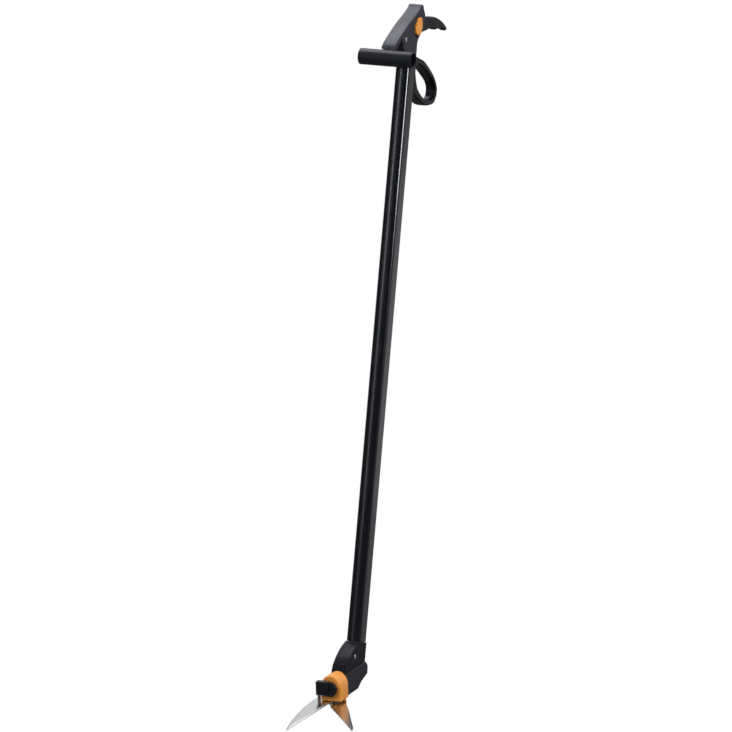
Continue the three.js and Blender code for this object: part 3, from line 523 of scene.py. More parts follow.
@dataclass(frozen=True)
class Finish:
    """One finish: its colours, gloss and the patterns that break it up."""

    name: str
    slot: str
    stock: Stock
    colour: Colour
    shade: Colour
    marked: Colour
    roughness: float
    spread: float
    grain: float
    depth: float
    marks: float
    coat: float = 0.0
    specular: float = 0.5
    tilt: float = 0.0

    def blended(self, tree: Tree, mask: Socket, first: object, second: object) -> Socket:
        """A colour between two others, each a socket or a plain colour, by a mask."""
        one, two = (value if isinstance(value, Socket) else (*value, 1.0) for value in (first, second))
        return node_of(tree, "Mix", {0: mask, 6: one, 7: two}, data_type="RGBA").outputs[2]

    def build(self) -> bpy.types.Material:
        """Builds the material.

        Returns:
            The material, with grain, mottling and handling marks from Object coordinates.
        """
        made = bpy.data.materials.new(self.name)
        made.use_nodes = True
        tree, metal = made.node_tree, self.stock is Stock.STEEL
        place = node_of(tree, "TexCoord", {}).outputs["Object"]
        feeds = {"Vector": place, "Rotation": (self.tilt, 0.0, 0.0)}
        vector = node_of(tree, "Mapping", feeds).outputs["Vector"]
        pattern = PATTERNS["ground_lines" if metal else "moulded_grain"]
        worked = node_of(tree, "Group", {"Scale": self.grain, "Vector": vector}, node_tree=pattern)
        change = worked.outputs["Streak" if metal else "Mottle"]
        feeds = {"Scale": 420.0, "Amount": self.marks, "Vector": vector}
        mask = node_of(tree, "Group", feeds, node_tree=PATTERNS["handling_marks"]).outputs["Mask"]
        low, high = max(self.roughness - self.spread / 2, 0.03), self.roughness + self.spread / 2
        gloss = ramp(tree, change, 0.3, 0.7, low, high, "LINEAR")
        feeds = {"Height": worked.outputs["Height"], "Strength": 0.6, "Distance": self.depth}
        colour = self.blended(tree, change, self.colour, self.shade)
        shader = tree.nodes["Principled BSDF"]
        feed(tree, shader, {
            "Base Color": self.blended(tree, mask, colour, self.marked),
            "Roughness": sum_of(tree, "ADD", gloss, sum_of(tree, "MULTIPLY", mask, 0.25)),
            "Metallic": 1.0 if metal else 0.0,
            "Coat Weight": self.coat,
            "Coat Roughness": 0.08,
            "Normal": node_of(tree, "Bump", feeds).outputs["Normal"],
        })
        if not metal:
            tint = (0.84, 0.88, 1.0, 1.0)
            feed(tree, shader, {"Specular IOR Level": self.specular, "Specular Tint": tint})
        return made


FINISHES: dict[str, Finish] = {
    "shaft": Finish(
        "shaft_paint", "shaft_black", Stock.PAINT, (0.0045, 0.005, 0.0075), (0.0065, 0.007, 0.01),
        (0.04, 0.042, 0.048), 0.19, 0.04, 2600.0, 0.000002, 0.2, coat=0.5),
    "gloss": Finish(
        "gloss_black_plastic", "black_gloss", Stock.PLASTIC, (0.003, 0.0034, 0.0048), (0.005, 0.0055, 0.0075),
        (0.03, 0.03, 0.035), 0.27, 0.06, 1700.0, 0.000005, 0.2, specular=0.26),
    "satin": Finish(
        "satin_black_plastic", "matt_black", Stock.PLASTIC, (0.007, 0.0078, 0.011), (0.01, 0.011, 0.015),
        (0.05, 0.05, 0.056), 0.4, 0.08, 1500.0, 0.00001, 0.25, specular=0.4),
    "grip": Finish(
        "grey_grip_plastic", "grip_grey", Stock.PLASTIC, (0.0145, 0.015, 0.0235), (0.0205, 0.021, 0.031),
        (0.08, 0.08, 0.092), 0.42, 0.1, 1300.0, 0.000014, 0.3, specular=0.52),
    "boot": Finish(
        "black_boot_plastic", "matt_black", Stock.PLASTIC, (0.005, 0.0056, 0.009), (0.0075, 0.0082, 0.012),
        (0.04, 0.04, 0.048), 0.34, 0.08, 1500.0, 0.00001, 0.25, specular=0.13),
    "case": Finish(
        "grey_case_plastic", "grip_grey", Stock.PLASTIC, (0.009, 0.0095, 0.0135), (0.0125, 0.013, 0.0185),
        (0.05, 0.05, 0.058), 0.42, 0.1, 1300.0, 0.000014, 0.3, specular=0.38),
    "orange": Finish(
        "orange_plastic", "orange", Stock.PLASTIC, (0.93, 0.37, 0.062), (0.87, 0.325, 0.05),
        (0.93, 0.55, 0.2), 0.4, 0.08, 1500.0, 0.00001, 0.25, coat=0.05),
    "blade": Finish(
        "ground_blade_steel", "blade_steel", Stock.STEEL, (0.68, 0.69, 0.71), (0.62, 0.63, 0.65),
        (0.5, 0.5, 0.52), 0.2, 0.05, 2400.0, 0.000002, 0.2, tilt=HEAD_TILT),
    # The ground bevel's steel is brighter and rougher than the blade's. This is partly the edge's own ground
    # finish and partly a painted highlight for the bright line that the bevel reflects.
    "ground": Finish(
        "ground_edge_steel", "blade_steel", Stock.STEEL, (0.87, 0.875, 0.885), (0.82, 0.825, 0.835),
        (0.8, 0.8, 0.82), 0.52, 0.08, 2600.0, 0.000002, 0.1, tilt=HEAD_TILT),
    "bright": Finish(
        "bright_pin_steel", "steel", Stock.STEEL, (0.75, 0.76, 0.78), (0.66, 0.67, 0.69),
        (0.55, 0.55, 0.57), 0.16, 0.05, 2600.0, 0.000001, 0.2),
    "dark": Finish(
        "blackened_screw_steel", "dark_steel", Stock.STEEL, (0.12, 0.122, 0.13), (0.08, 0.082, 0.088),
        (0.3, 0.3, 0.31), 0.34, 0.1, 2200.0, 0.000004, 0.3),
    "drawn": Finish(
        "drawn_rod_steel", "steel", Stock.STEEL, (0.5, 0.5, 0.52), (0.42, 0.42, 0.44),
        (0.34, 0.34, 0.36), 0.3, 0.1, 2400.0, 0.000004, 0.25, tilt=math.radians(90.0)),
}
MATERIALS: dict[str, bpy.types.Material] = {}


def settled(made: Piece, finish: str, body: str, node: str, angle: float = 34.0) -> Piece:
    """Finishes a piece: its material, the body that it rides on and the node that it stands for.

    Args:
        made: the piece.
        finish: the name of its finish.
        body: the body that it moves with.
        node: the model's node that it stands for.
        angle: the angle in degrees past which an edge stays crisp.

    Returns:
        The same piece.
    """
    made.data.materials.clear()
    made.data.materials.append(MATERIALS[finish])
    made.data.shade_smooth()
    made.data.set_sharp_from_angle(angle=math.radians(angle))
    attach(made, body)
    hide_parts(node)
    LOG.info("%s on %s, %d faces", made.name, body, len(made.data.polygons))
    return made


# Sizes that more than one sub-assembly needs


@dataclass(frozen=True)
class Layout:
    """Places and fits shared by the sub-assemblies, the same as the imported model's.

    A way is the radius of a hole that something passes through, a seat that of a screw head's
    recess, a travel how far a piece moves, and over how far a cutting solid reaches past what
    it cuts.
    """

    fit: float = 0.3
    slide: float = 0.5
    over: float = 2.0
    shaft_long: float = 852.0
    shaft_wide: float = 22.0
    shaft_deep: float = 25.0
    shaft_wall: float = 1.8
    crown: float = 0.8
    rear_corner: float = 3.0
    front_corner: float = 4.5
    corner_steps: int = 14
    front_steps: int = 12
    plug: float = 30.0
    plug_edge: float = 0.4
    grip_skirt: float = 14.0
    spine_reach: float = 70.0
    spine_top: float = 68.5
    bar_radius: float = 12.0
    bar_long: float = 84.0
    bar_drop: float = 14.6
    bar_in: float = 0.5
    pivot_share: float = 0.4543
    pivot_rise: float = 14.2
    pin: float = 3.0
    pin_way: float = 3.15
    link_y: float = -2.0
    link_travel: float = 5.1749
    link_pin: float = 1.5
    head_drop: float = 47.7
    head_wide: float = 24.0
    head_front: float = 52.4
    seam: float = 14.6
    collar_long: float = 29.0
    spigot_end: float = 70.0
    slide_travel: float = 13.7478
    blade_pivot: float = 68.4
    screw: float = 1.8
    screw_way: float = 1.95
    screw_tight: float = 1.9
    screw_head: float = 3.4
    screw_seat: float = 3.7
    screw_thick: float = 1.6
    loop_high: float = 77.0
    upper_seat: float = 0.28
    lower_seat: float = 0.5

    @property
    def top(self) -> float:
        """Height of the shaft's upper end."""
        return self.shaft_long / 2

    @property
    def base(self) -> float:
        """Height of the grip's base line."""
        return self.top + self.grip_skirt

    @property
    def rear(self) -> float:
        """How far back the shaft's rear face is."""
        return self.shaft_deep / 2

    @property
    def bar(self) -> tuple[float, float]:
        """The crossbar's axis, back and up."""
        return self.bar_in - self.spine_reach, self.base - self.bar_drop

    @property
    def pivot(self) -> tuple[float, float]:
        """The trigger's axis, back and up."""
        return -self.pivot_share * self.spine_reach, self.base + self.pivot_rise

    @property
    def seats(self) -> tuple[float, float]:
        """Heights of the two screws that hold the hand loop."""
        return self.base - self.upper_seat * self.loop_high, self.base - self.lower_seat * self.loop_high

    @property
    def head_height(self) -> float:
        """Height of the head's axis where it meets the shaft's."""
        return -self.top - self.head_drop

    @property
    def tilted(self) -> Matrix:
        """The move from the head's own frame to the object's."""
        return Matrix.Translation(Vector((0, 0, self.head_height))) @ Matrix.Rotation(HEAD_TILT, 4, "X")

    @property
    def crank_arms(self) -> tuple[float, float]:
        """Lengths of the bell crank's arms to the link and to the drive rod."""
        return self.link_travel / SWING, self.slide_travel / SWING

    @property
    def crank(self) -> tuple[float, float]:
        """The bell crank's axis, back and up."""
        arm, drive = self.crank_arms
        back = self.link_y + arm
        along = -(back + drive * math.sin(HEAD_TILT)) / math.cos(HEAD_TILT)
        return back, self.head_height + (-along * math.sin(HEAD_TILT) + drive * math.cos(HEAD_TILT))

    def upright(self, side: float, along: float) -> Matrix:
        """The move that stands a lathe shape square to the head's axis, at a side and along."""
        return self.tilted @ Matrix.Translation(Vector((side, -along, 0)))

    def tilt(self, made: Piece) -> Piece:
        """Puts a mesh drawn in the head's own frame into the object's."""
        made.data.transform(Matrix.Scale(MM, 4) @ self.tilted @ Matrix.Scale(1 / MM, 4))
        return made

    def section(self, inset: float) -> np.ndarray:
        """The shaft's section, moved in, each corner an arc about its own centre.

        Args:
            inset: how far it moves in.

        Returns:
            The closed outline, from the rear right corner counterclockwise.
        """
        half, deep = self.shaft_wide / 2 - inset, self.rear - inset
        rear, front = max(self.rear_corner - inset, self.fit), self.front_corner - inset
        centre = np.array([[half - rear, deep - rear], [rear - half, deep - rear],
                           [front - half, front - deep], [half - front, front - deep]])
        radius = np.array([rear, rear, front, front])[:, None]
        quarter = np.linspace(0, math.pi / 2, self.corner_steps + 1)[None]
        angle = quarter + np.arange(4)[:, None] * math.pi / 2
        arcs = np.stack([np.cos(angle) * radius, np.sin(angle) * radius], axis=-1)
        return (centre[:, None] + arcs).reshape(-1, 2)

    def plug_piece(self, low: float, high: float) -> Shell:
        """The part of the grip or the boot that fits into the shaft's end."""
        return plate(self.section(self.shaft_wall + self.fit), low, high, self.plug_edge)

    def crowned(self, inset: float) -> np.ndarray:
        """The section with more points along its front, which bows out a little at its middle.

        Args:
            inset: how far the section moves in.

        Returns:
            The closed outline, the front lowered by the square of its distance from the middle.
        """
        line, cut = self.section(inset), 3 * (self.corner_steps + 1)
        front = np.linspace(line[cut - 1], line[cut], self.front_steps + 2)[1:-1]
        line = np.concatenate([line[:cut], front, line[cut:]])
        bow = self.crown * (line[:, 0] / (self.shaft_wide / 2)) ** 2
        line[:, 1] += np.where(line[:, 1] < 0, bow * (-line[:, 1] / self.rear), 0.0)
        return line


def screw(name: str, profile: Pairs, way: Matrix, cross: float, face: float, depth: float) -> Piece:
    """A turned screw with a cross cut into its head.

    Args:
        name: the piece's name.
        profile: pairs of radius and height from the tip or head to the other end.
        way: the move that puts it in place.
        cross: how far the cross reaches from the axis.
        face: the height of the head's face.
        depth: how deep the cross is, below zero where it goes down from the face.

    Returns:
        The screw's object.
    """
    made = raw_object(name, [turned(rounded(profile, 0.35)).moved(way)])
    arm = 0.32
    low, high = sorted((face - depth * 0.3, face + depth))
    bars = [block((-x, -y, low), (x, y, high)) for x, y in ((cross, arm), (arm, cross))]
    return carved(made, Carve.AWAY, [bar.moved(way) for bar in bars])


def headed_pin(name: str, radius: float, head: float, wide: float, place: Place) -> Piece:
    """A pin across the tool with a domed head on each side.

    Args:
        name: the piece's name.
        radius: the pin's radius.
        head: the heads' radius.
        wide: the width of what it goes through.
        place: its place, back and up.

    Returns:
        The pin's object.
    """
    play, thick = 0.3, 1.2
    full = wide + 2 * (play + thick)
    dome = [(0.0, 0.0), (0.32 * head, 0.02), (0.62 * head, 0.14), (0.86 * head, 0.42), (head, 0.85),
            (head, thick)]
    far = [(r, full - h) for r, h in dome][::-1]
    profile = [*dome, (radius, thick), (radius, full - thick), *far]
    return raw_object(name, [turned(profile).moved(aimed((-full / 2, *place), RIGHT))])


@dataclass
class Shaft:
    """The long tube, with a rounded front and flat sides."""

    lay: Layout
    chamfer: float = 0.5

    def make(self) -> None:
        """Makes the tube: its section carried along Z, outside, over each rim and back inside."""
        lay, cut, wall = self.lay, self.chamfer, self.lay.shaft_wall
        ends = [(cut, -lay.top), (0.0, -lay.top + cut), (0.0, lay.top - cut), (cut, lay.top),
                (wall, lay.top), (wall, -lay.top)]
        rings = np.stack([lay.crowned(inset) for inset, _ in ends])
        made = raw_object("shaft_skin", [stacked(rings, [height for _, height in ends], closed=True)])
        holes = [peg(lay.screw + lay.fit / 2, lay.rear, (0, 0, z), BACK) for z in lay.seats]
        settled(carved(made, Carve.AWAY, holes), "shaft", "handle", "shaft_tube", angle=40)


@dataclass
class Grip:
    """The moulded frame at the top with its crossbar, pin and lock button.

    Its lines are in shares of the spine's reach and rise. The room is where the trigger swings.
    Its sizes say how far its corners stand from the shaft's rear, the base, the trigger's axis
    and the boss. The lock button's corners are cut by a share of its width.
    """

    lay: Layout
    edge: float = 1.5
    slot: float = 11.0
    boss: float = 9.5
    rod_way: float = 3.25
    pin_head: float = 3.8
    bar_wall: float = 2.0
    bar_rim: float = 0.8
    rod_room: float = 6.0
    nose_in: float = 8.0
    nose_drop: float = 2.5
    room_rear: float = 3.6
    room_foot: float = 4.0
    room_front: float = 2.0
    room_play: float = 1.25
    lock_share: float = 0.143
    lock_rise: float = 36.5
    lock_long: float = 27.0
    lock_wide: float = 20.0
    lock_tilt: float = math.radians(27.0)
    lock_travel: float = 3.5
    lock_corner: float = 0.32
    lock_far_corner: float = 1.4
    lock_recess: float = 2.6
    lock_sunk: float = 2.3
    lock_proud: float = 2.5
    lock_edge: float = 1.0
    stem: float = 2.5
    stem_way: float = 3.0
    spine: Pairs = (
        (-1, -0.02), (-0.94, 0.08), (-0.805, 0.208), (-0.632, 0.345), (-0.457, 0.477),
        (-0.258, 0.612), (-0.055, 0.74), (0.1, 0.845), (0.205, 0.93), (0.255, 0.985), (0.29, 1),
        (0.32, 0.993), (0.342, 0.962),
    )
    cheek: Pairs = (
        (0.36, 0.93), (0.48, 0.755), (0.445, 0.58), (0.37, 0.43), (0.26, 0.32), (0.19, 0.22),
        (0.171, 0.146),
    )
    room: Pairs = ((-0.56, 0.31), (-0.3, 0.49), (0, 0.66), (0.2, 0.81), (0.3, 0.92))

    @property
    def half(self) -> float:
        """Half of the frame's width."""
        return self.lay.shaft_wide / 2

    @property
    def lock_centre(self) -> np.ndarray:
        """The middle of the lock button, back and up."""
        return np.array([self.lock_share * self.lay.spine_reach, self.lay.base + self.lock_rise])

    def line(self, shares: Pairs, steps: int) -> np.ndarray:
        """A smooth line through places given in shares of the spine's reach and rise."""
        lay = self.lay
        return smooth_line(np.asarray(shares) * (lay.spine_reach, lay.spine_top) + (0.0, lay.base), steps)

    def outline(self) -> np.ndarray:
        """The frame's side view, y back and z up."""
        lay = self.lay
        back, up = lay.pivot
        foot = [(lay.rear, lay.base), (lay.rear, lay.top + lay.fit), (-lay.rear, lay.top + lay.fit),
                (-lay.rear, lay.base - lay.grip_skirt / 2), (back - self.boss / 2, lay.base),
                (back - self.boss, up), (back - self.boss, up + self.boss / 2),
                (self.nose_in - lay.spine_reach, lay.base - self.nose_drop)]
        return np.concatenate([self.line(self.spine, 96), self.line(self.cheek, 30), foot])

    def hollow(self) -> np.ndarray:
        """The side view of the room in which the trigger swings."""
        lay = self.lay
        back, _ = lay.pivot
        rise, base = lay.pivot_rise, lay.base
        rest = [(lay.spine_reach, base + lay.spine_top * 0.92), (lay.spine_reach, base + rise),
                (lay.rear, base + rise / 2), (lay.rear - self.room_rear, base),
                (back - self.room_front, base + self.room_foot),
                (back - self.boss + self.room_play, base + rise * 0.7)]
        return np.concatenate([self.line(self.room, 24), rest])

    def lock_outline(self, grow: float, stretch: float) -> np.ndarray:
        """The lock button's side view, its corners cut and then rounded, tilted with the grip.

        Args:
            grow: how far its sides move out.
            stretch: how much further its lower end reaches.

        Returns:
            The closed outline, y back and z up.
        """
        half, long = self.lock_wide / 2 + grow, self.lock_long / 2 + grow
        corner, low = self.lock_wide * self.lock_corner, -long - stretch
        far = corner * self.lock_far_corner
        points = np.array([(-half + corner, low), (half - corner, low), (half, low + corner),
                           (half, long - far), (half - far, long), (-half + corner, long),
                           (-half, long - corner), (-half, low + corner)])
        before, after = np.roll(points, 1, axis=0), np.roll(points, -1, axis=0)
        keep, pull, reach = 0.93, 0.035, 0.22
        nearer = keep * points + pull * (before + after)
        sides = points + reach * (before - points), points + reach * (after - points)
        soft = np.stack([sides[0], nearer, sides[1]], axis=1)
        sine, cosine = math.sin(self.lock_tilt), math.cos(self.lock_tilt)
        return soft.reshape(-1, 2) @ np.array([[cosine, -sine], [sine, cosine]]) + self.lock_centre

    def frame_piece(self) -> Piece:
        """The frame with its seat for the bar, its trigger room and the lock's recess.

        Returns:
            The frame's object.
        """
        lay, half, side = self.lay, self.half, self.slot / 2
        body = side_plate(self.outline(), -half, half, self.edge)
        plug = lay.plug_piece(lay.top - lay.plug, lay.base)
        made = carved(raw_object("grip_shell", [body]), Carve.TOGETHER, [plug])
        way = np.array([-math.sin(self.lock_tilt), -math.cos(self.lock_tilt)]) * self.lock_travel
        tools = [
            pocket(self.hollow(), -side, side),
            peg(self.rod_way, lay.plug + lay.pivot_rise + lay.grip_skirt + lay.over,
                (0, lay.link_y, lay.top - lay.plug - lay.over), UP),
            across(lay.pin_way, lay.shaft_wide + 2 * lay.over, lay.pivot),
            across(lay.bar_radius + lay.fit, lay.bar_long, lay.bar),
            peg(lay.screw_way, lay.bar_radius + 5, (0, *lay.bar), UP),
            pocket(self.lock_outline(lay.slide, self.lock_travel), half - self.lock_recess, half + lay.over),
            block((-side, lay.link_y - self.rod_room, lay.base - lay.grip_skirt / 2),
                  (side, lay.link_y + self.rod_room, lay.pivot[1])),
            *(peg(self.stem_way, half, (side - lay.over, *(self.lock_centre + way * part)), RIGHT)
              for part in (0, 0.5, 1)),
        ]
        return carved(made, Carve.AWAY, tools)

    def crossbar(self) -> Piece:
        """The bar: a lathe shape about X with rolled rims at both ends.

        Returns:
            The bar's object.
        """
        lay = self.lay
        outer, inner, long = lay.bar_radius, lay.bar_radius - self.bar_wall, lay.bar_long
        middle = (inner, long / 2)
        ring = rounded([middle, (inner, 0), (outer, 0), (outer, long), (inner, long), middle], self.bar_rim)
        made = raw_object("crossbar_skin", [turned(ring, 96).moved(aimed((-long / 2, *lay.bar), RIGHT))])
        return carved(made, Carve.AWAY, [peg(lay.screw_way, outer + lay.over, (0, *lay.bar), UP)])

    def lock(self) -> Piece:
        """The lock button: a crowned pad on a stem.

        Returns:
            The button's object.
        """
        half, inner = self.half, self.slot / 2 + self.lay.fit
        low, high = half - self.lock_sunk, half + self.lock_proud
        pad = side_plate(self.lock_outline(0, 0), low, high, self.lock_edge, 7)
        stem = peg(self.stem, half - inner, (inner, *self.lock_centre), RIGHT)
        return carved(raw_object("lock_button_skin", [pad]), Carve.TOGETHER, [stem])

    def make(self) -> None:
        """Makes the frame, the bar, the pin and the lock button."""
        lay = self.lay
        settled(self.frame_piece(), "grip", "handle", "grip_frame")
        settled(self.crossbar(), "satin", "handle", "crossbar_tube", angle=50)
        pin = headed_pin("trigger_pin_skin", lay.pin, self.pin_head, lay.shaft_wide, lay.pivot)
        settled(pin, "bright", "handle", "trigger_pin")
        settled(self.lock(), "orange", "lock", "lock_button", angle=50)


@dataclass
class Trigger:
    """The lever pinned at the front of the grip, with its hook behind for the fingers.

    Its lines are in shares of its reach and of how far its pin is above the grip's base.
    """

    lay: Layout
    reach: float = 130.0
    thick: float = 10.0
    web: float = 2.0
    wide: float = 11.0
    edge: float = 2.6
    boss: float = 9.5
    boss_play: float = 1.0
    pin_room: float = 2.0
    slot_half: float = 2.0
    over_hook: Pairs = (
        (-0.2, 1.6), (-0.1, 1.85), (0.01, 2.2), (0.11, 2.6), (0.21, 3.15), (0.303, 3.6),
        (0.478, 3.7), (0.635, 3.73), (0.765, 3.57), (0.847, 3.38), (0.902, 3.2), (0.95, 3.0),
        (0.985, 2.81), (1, 2.61),
    )
    under_hook: Pairs = (
        (0.971, 2.44), (0.9, 2.55), (0.823, 2.62), (0.75, 2.53), (0.68, 2.415), (0.62, 2.49),
        (0.57, 2.53), (0.5, 2.42), (0.425, 2.21), (0.3, 2.0), (0.203, 1.9), (0.128, 1.48),
        (0.075, 0.915), (0, 0.6),
    )

    def outline(self) -> np.ndarray:
        """The lever's side view: round the pin, out over the hook and back under it."""
        lay = self.lay
        back, up = lay.pivot
        angle = -math.pi / 2 - np.linspace(0, math.pi, 22)
        radius = self.boss - 1.5 * lay.slide - self.boss_play
        boss = np.column_stack([back + radius * np.cos(angle), up + radius * np.sin(angle)])
        hook = [smooth_line(np.asarray(shares) * (self.reach, lay.pivot_rise) + (0.0, lay.base), 110)
                for shares in (self.over_hook, self.under_hook)]
        return np.concatenate([boss, *hook])

    def make(self) -> None:
        """Makes the lever with its bore, the fork's pockets and the link pin's slot."""
        lay, web, wide = self.lay, self.web, self.wide
        _, up = lay.pivot
        lever = side_plate(self.outline(), -self.thick / 2, self.thick / 2, self.edge, 8)
        room, slot = lay.link_pin + self.pin_room + 3 * lay.slide, lay.link_pin + 2 * lay.slide
        low, high = up - lay.pivot_rise, up + lay.link_travel + room + 2 * lay.slide
        tools = [across(lay.pin_way, wide, lay.pivot)]
        for left, right in ((web, wide), (-wide, -web)):
            tools.append(block((left, lay.link_y - room, low), (right, lay.link_y + room, high)))
        tools.append(block((-wide / 2, lay.link_y - slot, up - self.slot_half),
                           (wide / 2, lay.link_y + slot, up + self.slot_half)))
        made = carved(raw_object("trigger_lever", [lever]), Carve.AWAY, tools)
        settled(made, "gloss", "trigger", "trigger", angle=40)


@dataclass
class HandLoop:
    """The band behind the shaft that goes round the hand, with its two screws.

    Its lines and the middle of its room are in shares of its reach and of its height.
    """

    lay: Layout
    reach: float = 106.6
    wide: float = 20.0
    narrow: float = 16.0
    squareness: float = 0.42
    middle: tuple[float, float] = (0.55, 0.58)
    seat_deep: float = 3.0
    way_long: float = 13.0
    screw_play: float = 0.1
    screw_face: float = 2.72
    outer: Pairs = (
        (0.112, -0.08), (0.3, -0.125), (0.45, -0.16), (0.63, -0.265), (0.73, -0.335),
        (0.825, -0.41), (0.89, -0.48), (0.945, -0.555), (0.995, -0.665), (1, -0.74), (0.985, -0.82),
        (0.93, -0.935), (0.83, -0.985), (0.64, -1.01), (0.47, -0.965), (0.28, -0.87), (0.112, -0.8),
    )
    inner: Pairs = (
        (0.2, -0.25), (0.36, -0.27), (0.5, -0.325), (0.63, -0.4), (0.73, -0.465), (0.83, -0.53),
        (0.9, -0.615), (0.925, -0.69), (0.925, -0.76), (0.9, -0.84), (0.82, -0.895), (0.66, -0.895),
        (0.54, -0.86), (0.42, -0.795), (0.3, -0.68), (0.2, -0.5), (0.165, -0.36), (0.2, -0.25),
    )

    def seen_from(self, centre: np.ndarray, line: np.ndarray, angle: np.ndarray) -> np.ndarray:
        """Where rays from a centre meet a closed line, read from its points' own angles.

        Args:
            centre: where the rays start.
            line: the closed line's points.
            angle: the angle of each ray.

        Returns:
            One point for each ray.
        """
        away = line - centre
        turn = np.arctan2(away[:, 1], away[:, 0])
        order = np.argsort(turn)
        reach = np.interp(angle, turn[order], np.linalg.norm(away, axis=1)[order], period=2 * math.pi)
        return centre + np.column_stack([np.cos(angle), np.sin(angle)]) * reach[:, None]

    def band(self) -> Shell:
        """The band: a rounded section carried round the hand's space.

        At each angle about the space's middle the section goes from the inner line to the outer
        one, and its width falls evenly from the shaft to the rear. The section's corners are those
        of a superellipse.

        Returns:
            The closed shell.
        """
        lay = self.lay
        scale, base = (self.reach, lay.loop_high), (0.0, lay.base)
        outside, inside = (smooth_line(np.asarray(shares) * scale + base, 400)
                           for shares in (self.outer, self.inner))
        outside = np.concatenate([outside, np.linspace(outside[-1], outside[0], 80)[1:-1]])
        outside[:, 0] = np.maximum(outside[:, 0], lay.rear + lay.fit)
        back, down = self.middle
        centre = np.array([back * self.reach, lay.base - down * lay.loop_high])
        corner = outside[[0, 400]] - centre
        turns = np.sort(np.concatenate([np.linspace(-math.pi, math.pi, 200, endpoint=False),
                                        np.arctan2(corner[:, 1], corner[:, 0])]))
        far, near = self.seen_from(centre, outside, turns), self.seen_from(centre, inside, turns)
        part = np.linspace(0, 2 * math.pi, 40, endpoint=False)
        beside, through = (np.sign(wave) * np.abs(wave) ** self.squareness
                           for wave in (np.cos(part), np.sin(part)))
        middle, half = (far + near) / 2, (far - near) / 2
        flat = middle[:, None] + half[:, None] * through[None, :, None]
        width = (self.wide + (self.narrow - self.wide) * flat[..., 0] / self.reach) / 2
        return lofted(np.concatenate([(width * beside[None, :])[..., None], flat], axis=-1), closed=True)

    def make(self) -> None:
        """Makes the band and its screws."""
        lay = self.lay
        seat, thick = lay.rear + lay.fit + self.seat_deep, lay.screw_thick
        ways = [peg(lay.screw_tight, self.way_long + lay.rear, (0, 0, z), BACK) for z in lay.seats]
        seats = [peg(lay.screw_seat, self.way_long, (0, seat, z), BACK) for z in lay.seats]
        made = carved(raw_object("hand_loop_band", [self.band()]), Carve.AWAY, [*ways, *seats])
        settled(made, "gloss", "handle", "hand_loop", angle=44)
        tip = lay.rear - lay.shaft_wall + self.screw_play
        long = seat + self.screw_play - tip
        profile = [(0, 0), (lay.screw, 0), (lay.screw, long), (lay.screw_head, long),
                   (self.screw_face, long + thick), (0, long + thick)]
        for name, z in zip(("loop_screw_upper", "loop_screw_lower"), lay.seats):
            way = aimed((0, tip, z), BACK)
            made = screw(f"{name}_cross", profile, way, lay.screw_tight, long + thick, -0.9)
            settled(made, "dark", "handle", name)


